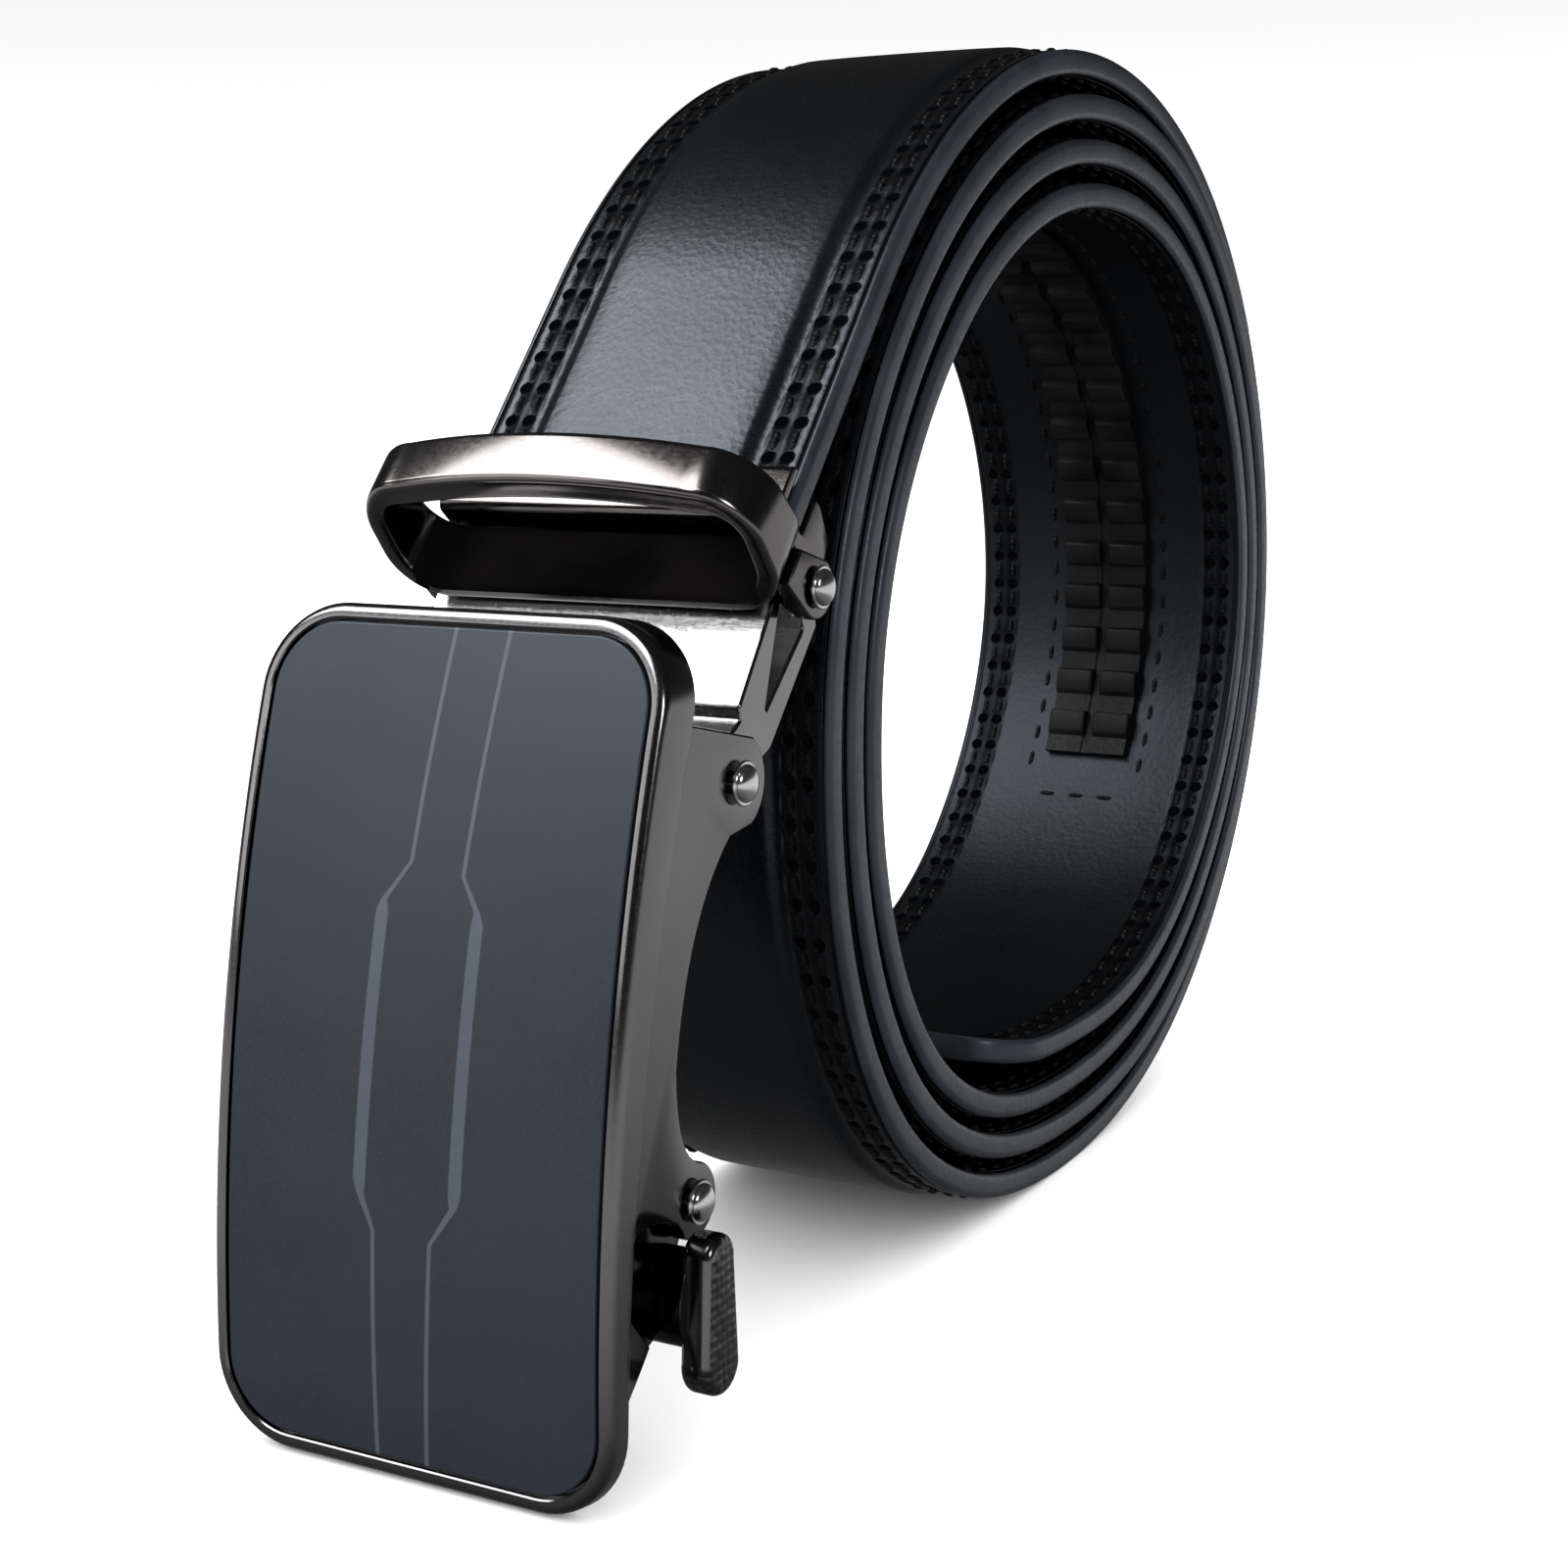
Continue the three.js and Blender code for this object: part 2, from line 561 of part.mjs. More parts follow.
// Depth of the rim behind the face's curve.
function rimDepth(z) {
  return THREE.MathUtils.lerp(RIM_FOOT_DEPTH, RIM_DEPTH, z / FACE_HEIGHT);
}

// Right half of a rounded rectangle, from its foot to its top, set in by an inset.
function faceOutline(inset) {
  const [half, corner] = [faceHalf - inset, Math.max(FACE_CORNER - inset, RIM_EDGE)];
  const [low, high] = [inset, FACE_HEIGHT - inset];
  const points = [];
  const cornerSteps = 5;
  for (let i = 0; i <= cornerSteps; i++) {
    const angle = (Math.PI / 2) * (i / cornerSteps);
    points.push([half - corner + corner * Math.sin(angle), low + corner - corner * Math.cos(angle)]);
  }
  const sideSteps = 8;
  for (let i = 1; i < sideSteps; i++) {
    points.push([half, THREE.MathUtils.lerp(low + corner, high - corner, i / sideSteps)]);
  }
  for (let i = 0; i <= cornerSteps; i++) {
    const angle = (Math.PI / 2) * (i / cornerSteps);
    points.push([half - corner + corner * Math.cos(angle), high - corner + corner * Math.sin(angle)]);
  }
  return points;
}

// A slab with the face's outline, bent to the face's curve, through the given layers.
function bentSlab(layers) {
  const rings = layers.map(({ inset, depth }) => {
    const right = faceOutline(inset);
    const left = right.map(([x, z]) => [-x, z]).reverse();
    return [...right, ...left].map(([x, z]) => new THREE.Vector3(x, faceDepth(z) + depth(z), z));
  });
  const half = rings[0].length / 2;
  const strips = [];
  for (let i = 0; i < half - 1; i++) {
    const [a, b, c, d] = [i, i + 1, 2 * half - 2 - i, 2 * half - 1 - i];
    strips.push([a, b, c], [a, c, d]);
  }
  return loft(rings, strips);
}

const panelFloor = PANEL_SET_BACK + PANEL_THICKNESS + CLEAR;

function wallShape() {
  const [pinY, pinZ, ear] = [LOWER_PIN_DEPTH, lowerPinHeight, WALL_EAR_RADIUS];
  const [pawlY, pawlZ, pawlEar] = [PAWL_PIN_DEPTH, PAWL_PIN_HEIGHT, PAWL_EAR_RADIUS];
  const root = (z) => faceDepth(z) + panelFloor + WALL_ROOT;
  const rimBack = (z) => faceDepth(z) + rimDepth(z);
  const foot = HORN_HEIGHT * 0.7;
  const top = pinZ + ear * 1.08;
  const notchTop = pawlZ - pawlEar * 0.35;
  const shape = new THREE.Shape();
  shape.moveTo(root(foot), foot);
  shape.lineTo(rimBack(foot) - RIM_EDGE, foot);
  shape.lineTo(HORN_DEPTH, HORN_HEIGHT);
  shape.quadraticCurveTo(HORN_DEPTH * 0.55, HORN_HEIGHT * 1.2, rimBack(HORN_HEIGHT * 1.5), HORN_HEIGHT * 1.5);
  shape.lineTo(rimBack(notchTop * 0.85), notchTop * 0.85);
  shape.quadraticCurveTo(rimBack(notchTop), notchTop, pawlY * 0.4, notchTop);
  shape.quadraticCurveTo(pawlY * 0.75, notchTop, pawlY - pawlEar * 0.5, pawlZ - pawlEar * 0.87);
  shape.absarc(pawlY, pawlZ, pawlEar, -Math.PI * 2 / 3, Math.PI * 0.42);
  shape.quadraticCurveTo(WAIST_DEPTH * 1.2, pawlZ + pawlEar, WAIST_DEPTH, pawlZ + pawlEar * 3.4);
  const waistTop = THREE.MathUtils.lerp(pawlZ, pinZ, 0.68);
  shape.quadraticCurveTo(WAIST_DEPTH, waistTop, pinY * 0.93, pinZ - ear * 1.05);
  shape.absarc(pinY, pinZ, ear, -Math.PI * 0.3, Math.PI * 0.36);
  shape.lineTo(rimBack(top) - RIM_EDGE, top);
  shape.lineTo(root(top), top);
  const steps = 8;
  for (let i = 1; i < steps; i++) {
    const z = THREE.MathUtils.lerp(top, foot, i / steps);
    shape.lineTo(root(z), z);
  }
  return shape;
}

function frameGeometry() {
  const front = (depth) => () => depth;
  const slab = bentSlab([
    { inset: RIM_EDGE, depth: front(0) },
    { inset: RIM_EDGE * 0.3, depth: front(RIM_EDGE * 0.3) },
    { inset: 0, depth: front(RIM_EDGE) },
    { inset: 0, depth: (z) => rimDepth(z) - RIM_EDGE * 0.5 },
    { inset: RIM_EDGE * 0.5, depth: rimDepth },
  ]);
  const recess = bentSlab([
    { inset: RIM_LIP, depth: front(-RIM_EDGE) },
    { inset: RIM_LIP, depth: front(panelFloor) },
  ]);
  const steps = 10;
  const above = FACE_HEIGHT + CUT_PAST;
  const behind = RIM_DEPTH + CUT_PAST;
  const channel = [[behind, above], [behind, FOOT_HEIGHT]];
  for (let i = 0; i <= steps; i++) {
    const z = THREE.MathUtils.lerp(FOOT_HEIGHT, above, i / steps);
    channel.push([faceDepth(z) + PLATE_THICKNESS, z]);
  }
  const hollow = slice(polygon(channel.reverse()), -channelHalf, channelHalf);
  const wall = wallShape();
  const walls = [slice(wall, -wallOuter, -channelHalf, 5), slice(wall, channelHalf, wallOuter, 5)];
  const body = join(cut(slab, recess, hollow), ...walls);
  return cut(
    body,
    bore(LOWER_PIN_DEPTH, lowerPinHeight, wallOuter + CUT_PAST),
    bore(PAWL_PIN_DEPTH, PAWL_PIN_HEIGHT, wallOuter + CUT_PAST),
  );
}

function panelGeometry() {
  const inset = RIM_LIP + CLEAR;
  return bentSlab([
    { inset: inset + PANEL_EDGE, depth: () => PANEL_SET_BACK },
    { inset, depth: () => PANEL_SET_BACK + PANEL_EDGE },
    { inset, depth: () => PANEL_SET_BACK + PANEL_THICKNESS },
  ]);
}

// Paddle outside the side wall, arm through the wall's notch, and the pawl behind the face.
function leverGeometry() {
  const [pinY, pinZ] = [PAWL_PIN_DEPTH, PAWL_PIN_HEIGHT];
  const paddleInner = wallOuter + PADDLE_GAP;
  const [footRound, topRound] = [PADDLE_WIDTH / 2, PADDLE_WIDTH * 0.4];
  const paddleFoot = PADDLE_TOP - PADDLE_LENGTH;
  const paddleOutline = (inset) => {
    const shape = new THREE.Shape();
    shape.absarc(PADDLE_DEPTH + PADDLE_LEAN, paddleFoot + footRound, footRound - inset, Math.PI, 2 * Math.PI);
    shape.absarc(PADDLE_DEPTH, PADDLE_TOP - topRound, topRound - inset, 0, Math.PI);
    return shape.getPoints(6).map((p) => new THREE.Vector2(p.x, p.y));
  };
  const soft = PADDLE_THICKNESS * 0.3;
  const layers = [[0, soft], [soft * 0.3, soft * 0.3], [soft, 0],
    [PADDLE_THICKNESS - soft, 0], [PADDLE_THICKNESS - soft * 0.3, soft * 0.3], [PADDLE_THICKNESS, soft]];
  const rings = layers.map(([x, inset]) => paddleOutline(inset)
    .map((p) => new THREE.Vector3(paddleInner + x, p.x, p.y)));
  const paddle = loft(rings, fill(paddleOutline(0)));
  const armOuter = channelHalf - CLEAR;
  const [front, back] = [PADDLE_DEPTH - topRound, PADDLE_DEPTH + topRound];
  const lengthDown = (share) => PADDLE_TOP - PADDLE_LENGTH * share;
  const arm = slice(polygon([
    [pinY - PAWL_BARREL, pinZ], [front, lengthDown(0.25)], [front * 0.85, lengthDown(0.8)],
    [back, lengthDown(0.7)], [pinY + PAWL_BARREL, pinZ],
  ]), armOuter - ARM_THICKNESS, armOuter);
  const bridge = slice(polygon([
    [front, lengthDown(0.7)], [back, lengthDown(0.65)], [back, lengthDown(0.25)], [front, lengthDown(0.2)],
  ]), armOuter - ARM_THICKNESS * 0.5, paddleInner + soft);
  const barrel = slice(disc(pinY, pinZ, PAWL_BARREL), -PAWL_WIDTH / 2, armOuter, 16);
  const pawl = slice(polygon([
    [pinY, pinZ + PAWL_BARREL], [pinY - PAWL_REACH, pinZ + PAWL_BARREL * 1.8],
    [pinY - PAWL_REACH * 0.88, pinZ + PAWL_BARREL * 0.7], [pinY, pinZ - PAWL_BARREL * 0.8],
  ]), -PAWL_WIDTH / 2, PAWL_WIDTH / 2);
  return cut(join(arm, bridge, barrel, pawl, paddle), bore(pinY, pinZ, channelHalf + CUT_PAST));
}

// Assembly

const belt = new THREE.Group();

addMesh(belt, 'strap', strapGeometry(), leather);
addMesh(belt, 'ratchet_track', trackGeometry(), trackPlastic);

const clasp = new THREE.Group();
clasp.position.set(0, strapEnd.x, strapEnd.y);
clasp.rotation.x = -tilt;
belt.add(clasp);
addMesh(clasp, 'strap_clamp', clampGeometry(), mirror);
addMesh(clasp, 'keeper_loop', loopGeometry(), gunmetal);
const upperPinMesh = addMesh(clasp, 'upper_pin', pinGeometry(loopInner + EAR_THICKNESS), rivetMetal);
upperPinMesh.position.set(0, upperPin.y, upperPin.z);

const link = new THREE.Group();
link.position.set(0, upperPinPlace.x, upperPinPlace.y);
link.rotation.x = -linkTilt;
belt.add(link);
addMesh(link, 'link_plate', linkGeometry(), mirror);

const buckle = new THREE.Group();
buckle.position.set(0, footPlace.x, footPlace.y);
buckle.rotation.x = -lean;
belt.add(buckle);
addMesh(buckle, 'buckle_frame', frameGeometry(), gunmetal);
addMesh(buckle, 'face_panel', panelGeometry(), panel);
addMesh(buckle, 'release_lever', leverGeometry(), gunmetal);
const lowerPinMesh = addMesh(buckle, 'lower_pin', pinGeometry(wallOuter), rivetMetal);
lowerPinMesh.position.set(0, LOWER_PIN_DEPTH, lowerPinHeight);
const pawlPinMesh = addMesh(buckle, 'pawl_pin', pinGeometry(wallOuter), rivetMetal);
pawlPinMesh.position.set(0, PAWL_PIN_DEPTH, PAWL_PIN_HEIGHT);

// The origin is the middle of the part's box, at the height of the floor.
belt.updateMatrixWorld(true);
const extent = new THREE.Box3().setFromObject(belt, true);
belt.position.set(-(extent.min.x + extent.max.x) / 2, -(extent.min.y + extent.max.y) / 2, -extent.min.z);

export default belt;
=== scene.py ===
import json
import math

import bmesh
import bpy
from mathutils import Matrix, Vector


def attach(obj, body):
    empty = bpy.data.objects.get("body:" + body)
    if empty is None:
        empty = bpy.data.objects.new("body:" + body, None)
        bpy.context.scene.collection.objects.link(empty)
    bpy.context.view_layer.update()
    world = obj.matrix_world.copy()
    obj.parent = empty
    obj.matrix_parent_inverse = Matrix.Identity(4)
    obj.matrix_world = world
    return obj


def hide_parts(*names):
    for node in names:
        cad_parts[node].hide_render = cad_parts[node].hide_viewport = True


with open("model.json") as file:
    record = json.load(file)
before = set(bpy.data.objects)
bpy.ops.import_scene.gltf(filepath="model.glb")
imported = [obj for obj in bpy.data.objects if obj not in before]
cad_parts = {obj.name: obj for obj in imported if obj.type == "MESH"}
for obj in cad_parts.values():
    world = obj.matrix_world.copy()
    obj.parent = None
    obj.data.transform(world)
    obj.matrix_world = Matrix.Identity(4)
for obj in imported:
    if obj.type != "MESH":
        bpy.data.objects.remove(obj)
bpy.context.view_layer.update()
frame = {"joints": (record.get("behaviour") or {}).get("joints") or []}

# A coiled leather ratchet belt with its buckle in front of the coil. Lengths here are
# millimetres until a mesh is written, angles are degrees. X runs across the strap.

MM = 0.001

# Strap
WIDTH = 35.0
THICKNESS = 2.6
CROWN = 0.7
MARGIN = 5.4
SHOULDER = 1.6
EDGE_ROUND = 0.62
EDGE_ROUND_OUT = 0.75
EDGE_ROUND_IN = 0.7
GROOVE = 0.95
GROOVE_SINK = 0.12
SEAM_SINK = 0.07
SEAM_SPREAD = 0.35
TIP_LENGTH = 9.0
TIP_WIDTH = 22.0
COIL_RADIUS = 62.0
COIL_START = 40.0
COIL_TURNS = 3.71
STRAIGHT_RUN = 26.5
TIGHTEST = 3.65
COIL_DRIFT = 1.2
TIP_LIFT = 1.2
TIP_LIFT_SPAN = 50.0
OUTLINE_REACH = [0.982, 0.946, 0.98, 1.02, 1.037, 1.003, 0.99, 1.05]
OUTLINE_SPACING = [1.0, 1.12, 1.22, 1.08, 1.0, 1.1, 1.2, 1.08]

# Track
TRACK_WIDTH = 10.5
TRACK_BASE = 0.6
TRACK_TOOTH = 1.1
TRACK_PITCH = 6.0
TRACK_TEETH = 34
TRACK_SLOT = 1.2
TRACK_FROM_TIP = 72.0
TRACK_BOX_SIDE = 2.0
TRACK_BOX_END = 6.0

# Stitches
STITCH_PITCH = 3.8
STITCH_LENGTH = 2.4
THREAD_RADIUS = 0.3
HOLE_RADIUS = 0.6
ROW_OUTER = 2.3
ROW_INNER = 4.2
STITCH_DIP = 0.3
STITCH_RISE = 0.3
TRACK_STITCH_RISE = 0.42
FLOOR_GAP = 0.25

# Metal
CLEAR = 0.3
CLAMP_GRIP = 3.6
CLAMP_FLOOR = 1.6
CLAMP_JAW = 1.0
CLAMP_BACK = 4.8
LOOP_INNER = 18.1
LOOP_SIDE_WALL = 1.9
LOOP_OPENING = 8.5
LOOP_BAR_HEIGHT = 5.3
LOOP_BAR_DEPTH = 3.0
LOOP_BAR_BOW = 1.6
LOOP_BAR_RAISE = 0.7
LOOP_PLATE_HEIGHT = 6.8
LOOP_PLATE_DEPTH = 1.8
LOOP_PLATE_SET_BACK = 0.3
LOOP_CORNER = 4.2
LOOP_EDGE = 0.7
PLATE_TOP = -2.2
EAR_RADIUS = 2.8
EAR_THICKNESS = 1.6
UPPER_PIN_Y = 4.6
UPPER_PIN_Z = -4.4
LINK_LENGTH = 19.6
LINK_TURN = 0.4
LINK_KNUCKLE = 2.2
LINK_BACK = 5.6
LINK_HALF = 17.4
CHANNEL_HALF = 17.95
WALL_OUTER = 19.35
FACE_HALF = 20.0
BUCKLE_LEAN = 10.7
FACE_HEIGHT = 71.0
FACE_CORNER = 7.5
FACE_BULGE = 3.4
RIM_DEPTH = 5.0
RIM_FOOT_DEPTH = 2.4
RIM_EDGE = 0.8
RIM_LIP = 1.3
RIM_LIP_ROUND = 0.12
RIM_BACK_ROUND = 0.4
RIM_BACK_LIP = 1.9
PANEL_FLOOR = 1.4
PANEL_THICKNESS = 1.0
PANEL_SINK = 0.1
PANEL_EDGE = 0.15
PLATE_THICKNESS = 3.0
WALL_ROOT = 0.3
LOWER_PIN_HEIGHT = 58.5
LOWER_PIN_DEPTH = 12.2
WALL_EAR_RADIUS = 4.2
WAIST_DEPTH = 5.6
PAWL_PIN_HEIGHT = 24.6
PAWL_PIN_DEPTH = 10.0
PAWL_EAR_RADIUS = 3.2
HORN_HEIGHT = 11.4
HORN_DEPTH = 4.6
PADDLE_LENGTH = 13.4
PADDLE_WIDTH = 5.2
PADDLE_LEAN = 1.5
PADDLE_THICKNESS = 2.9
PADDLE_GAP = 1.0
PADDLE_TOP = 22.8
PADDLE_DEPTH = 8.4
ARM_THICKNESS = 2.6
PAWL_WIDTH = 14.0
PAWL_BARREL = 2.4
PAWL_REACH = 6.6
PIN_HEAD_RADIUS = 1.9
PIN_HEAD_HEIGHT = 1.1
PIN_RADIUS = 1.0
PIN_FLANGE = 0.32


def lerp(a, b, t):
    return a + (b - a) * t


def smooth(x, low, high):
    t = min(1.0, max(0.0, (x - low) / (high - low)))
    return t * t * (3 - 2 * t)


# Shader helpers

class Nodes:
    """A material's node tree with short calls for what the finishes need."""

    def __init__(self, name):
        self.material = bpy.data.materials.new(name)
        self.material.use_nodes = True
        self.tree = self.material.node_tree
        self.bsdf = self.tree.nodes["Principled BSDF"]

    def node(self, kind, inputs=None, **settings):
        made = self.tree.nodes.new(kind)
        for key, value in settings.items():
            setattr(made, key, value)
        for key, value in (inputs or {}).items():
            self.put(made.inputs[key], value)
        return made

    def put(self, socket, value):
        if isinstance(value, bpy.types.NodeSocket):
            self.tree.links.new(value, socket)
        else:
            socket.default_value = value

    def math(self, operation, a, b=0.0):
        return self.node("ShaderNodeMath", {0: a, 1: b}, operation=operation).outputs[0]

    def plus(self, a, b):
        return self.math("ADD", a, b)

    def minus(self, a, b):
        return self.math("SUBTRACT", a, b)

    def times(self, a, b):
        return self.math("MULTIPLY", a, b)

    def band(self, value, low, high, to_low=0.0, to_high=1.0):
        made = self.node("ShaderNodeMapRange", {
            "Value": value, "From Min": low, "From Max": high, "To Min": to_low, "To Max": to_high,
        }, interpolation_type="SMOOTHSTEP")
        return made.outputs["Result"]

    def mix(self, share, a, b):
        made = self.node("ShaderNodeMix", data_type="RGBA")
        self.put(made.inputs["Factor"], share)
        self.put(made.inputs["A"], a)
        self.put(made.inputs["B"], b)
        return made.outputs["Result"]

    def noise(self, vector, scale, detail=3.0, roughness=0.5):
        return self.node("ShaderNodeTexNoise", {
            "Vector": vector, "Scale": scale, "Detail": detail, "Roughness": roughness,
        }).outputs["Fac"]

    def cells(self, vector, scale, randomness=1.0, feature="F1"):
        return self.node("ShaderNodeTexVoronoi", {
            "Vector": vector, "Scale": scale, "Randomness": randomness,
        }, feature=feature).outputs["Distance"]

    def bump(self, height, strength, distance, before=None):
        inputs = {"Height": height, "Strength": strength, "Distance": distance}
        if before is not None:
            inputs["Normal"] = before
        return self.node("ShaderNodeBump", inputs).outputs["Normal"]

    def set(self, **values):
        names = {
            "color": "Base Color", "metallic": "Metallic", "roughness": "Roughness",
            "normal": "Normal", "specular": "Specular IOR Level", "tint": "Specular Tint",
        }
        for key, value in values.items():
            self.put(self.bsdf.inputs[names[key]], value)
        return self.material


def color(r, g, b):
    return (r, g, b, 1.0)


def object_place(m):
    return m.node("ShaderNodeTexCoord").outputs["Object"]


def uv_place(m):
    """The mesh's own lengths in millimetres: along in x and across in y."""
    place = m.node("ShaderNodeUVMap", uv_map="place").outputs["UV"]
    parts = m.node("ShaderNodeSeparateXYZ", {"Vector": place})
    return parts.outputs["X"], parts.outputs["Y"]


def leather_material(name, rough_low, rough_high, shine):
    m = Nodes(name)
    place = object_place(m)
    along, across = uv_place(m)
    side = m.math("ABSOLUTE", across)
    from_side = m.minus(WIDTH / 2, side)
    step = m.math("FRACT", m.math("DIVIDE", along, STITCH_PITCH))
    along_gap = m.times(m.math("ABSOLUTE", m.minus(step, 0.5)), STITCH_PITCH)
    holes = None
    for row in (ROW_OUTER, ROW_INNER):
        off = m.minus(from_side, row)
        gap = m.math("SQRT", m.plus(m.math("POWER", off, 2.0), m.math("POWER", along_gap, 2.0)))
        hole = m.band(gap, HOLE_RADIUS * 0.8, HOLE_RADIUS * 1.25, 1.0, 0.0)
        holes = hole if holes is None else m.math("MAXIMUM", holes, hole)
    groove = m.band(m.math("ABSOLUTE", m.minus(from_side, GROOVE)), 0.05, 0.22, 1.0, 0.0)
    grain = m.cells(place, 1500.0)
    fine = m.noise(place, 3800.0, 4.0, 0.6)
    broad = m.noise(place, 55.0, 4.0, 0.55)
    creases = m.noise(place, 650.0, 3.0, 0.5)
    base = m.mix(m.band(broad, 0.35, 0.65), color(0.0014, 0.0017, 0.0022), color(0.002, 0.0024, 0.0031))
    base = m.mix(m.band(fine, 0.4, 0.7), base, color(0.0026, 0.0031, 0.004))
    # Painted shade: the stitch holes and the groove are darkened in colour.
    base = m.mix(m.math("MAXIMUM", holes, m.times(groove, 0.7)), base, color(0.001, 0.001, 0.0012))
    rough = m.band(m.plus(m.times(fine, 0.5), m.times(broad, 0.5)), 0.3, 0.7,
                   rough_low, rough_high)
    rough = m.math("MAXIMUM", rough, m.times(holes, 0.9))
    grain_bump = m.bump(m.plus(grain, m.times(fine, 0.7)), 0.16, 0.00012)
    crease_bump = m.bump(creases, 0.07, 0.0002, grain_bump)
    seam = m.times(m.band(from_side, 1.7, 2.2), m.band(from_side, 4.7, 5.3, 1.0, 0.0))
    wave = m.math("COSINE", m.times(m.math("DIVIDE", along, STITCH_PITCH), 2 * math.pi))
    ridge = m.math("COSINE", m.times(m.math("DIVIDE", m.minus(from_side, ROW_OUTER),
                                                      ROW_INNER - ROW_OUTER), 2 * math.pi))
    pucker = m.times(seam, m.plus(m.times(wave, 0.5), m.times(ridge, -0.6)))
    ruffle = m.times(seam, m.noise(place, 900.0, 3.0))
    puckers = m.bump(m.plus(pucker, m.times(ruffle, 0.5)), 0.6, 0.0002, crease_bump)
    pits = m.plus(m.times(holes, -1.0), m.times(groove, -0.45))
    normal = m.bump(pits, 1.0, 0.0006, puckers)
    # Painted shade over the stitched band: darker colour here, and less specular with the holes below.
    base = m.mix(m.times(seam, 0.6), base, color(0.0012, 0.0014, 0.0018))
    rough = m.plus(rough, m.times(seam, 0.06))
    dull = m.math("MAXIMUM", m.times(seam, 0.6), holes)
    specular = m.times(m.minus(1.0, dull), shine)
    return m.set(color=base, roughness=rough, normal=normal, specular=specular, tint=color(0.8, 0.9, 1.0))


def edge_material():
    m = Nodes("edge_paint")
    place = object_place(m)
    broad = m.noise(place, 130.0, 3.0)
    fine = m.noise(place, 1600.0, 3.0)
    base = m.mix(m.band(broad, 0.35, 0.65), color(0.009, 0.011, 0.0138), color(0.0135, 0.0163, 0.0202))
    rough = m.band(fine, 0.3, 0.7, 0.3, 0.42)
    normal = m.bump(m.plus(broad, m.times(fine, 0.3)), 0.25, 0.00015)
    return m.set(color=base, roughness=rough, normal=normal, specular=0.5, tint=color(0.82, 0.91, 1.0))


def thread_material():
    m = Nodes("thread")
    along, across = uv_place(m)
    twist = m.math("SINE", m.plus(m.times(along, 9.0), m.times(across, 2 * math.pi)))
    fuzz = m.noise(object_place(m), 5200.0, 3.0)
    # Painted shade in the twist's grooves: darker where its bump is low.
    base = m.mix(m.band(twist, -1.0, 1.0), color(0.0012, 0.0014, 0.0017), color(0.0036, 0.0042, 0.0052))
    base = m.mix(m.band(fuzz, 0.5, 0.75), base, color(0.006, 0.007, 0.0086))
    normal = m.bump(twist, 0.7, 0.00008)
    return m.set(color=base, roughness=m.band(fuzz, 0.3, 0.7, 0.5, 0.7), normal=normal, specular=0.14)


def track_material():
    m = Nodes("track_plastic")
    place = object_place(m)
    fine = m.noise(place, 2600.0, 3.0)
    broad = m.noise(place, 160.0, 3.0)
    base = m.mix(m.band(broad, 0.35, 0.65), color(0.0022, 0.0024, 0.0028), color(0.0044, 0.0048, 0.0056))
    return m.set(color=base, roughness=m.band(fine, 0.3, 0.7, 0.45, 0.6),
                 normal=m.bump(fine, 0.12, 0.00008), specular=0.12)


def metal_material(name, tone, rough, wave=0.05, scratch=0.04):
    m = Nodes(name)
    place = object_place(m)
    broad = m.noise(place, 60.0, 2.0)
    fine = m.noise(place, 2400.0, 4.0, 0.7)
    stretch = m.node("ShaderNodeMapping", {"Vector": place, "Scale": (1.0, 9.0, 9.0)}).outputs["Vector"]
    lines = m.noise(stretch, 700.0, 4.0, 0.7)
    low = color(*[c * 0.88 for c in tone])
    base = m.mix(m.band(broad, 0.35, 0.65), low, color(*tone))
    spread = m.plus(m.times(lines, 0.5), m.times(fine, 0.5))
    roughness = m.band(spread, 0.35, 0.65, rough * 0.75, rough * 1.25)
    normal = m.bump(broad, wave, 0.0004)
    normal = m.bump(spread, scratch, 0.00004, normal)
    return m.set(color=base, metallic=1.0, roughness=roughness, normal=normal)


def painted_shade_material():
    """Painted shade for the loop's back plate: almost black with no specular, for the shade behind the
    front bar.
    """
    m = Nodes("loop_painted_shade")
    place = object_place(m)
    broad = m.noise(place, 90.0, 3.0)
    fine = m.noise(place, 1800.0, 3.0)
    base = m.mix(m.band(broad, 0.35, 0.65), color(0.0022, 0.002, 0.002), color(0.0045, 0.004, 0.0039))
    return m.set(color=base, roughness=m.band(fine, 0.3, 0.7, 0.5, 0.65),
                 normal=m.bump(fine, 0.05, 0.00005), specular=0.0)


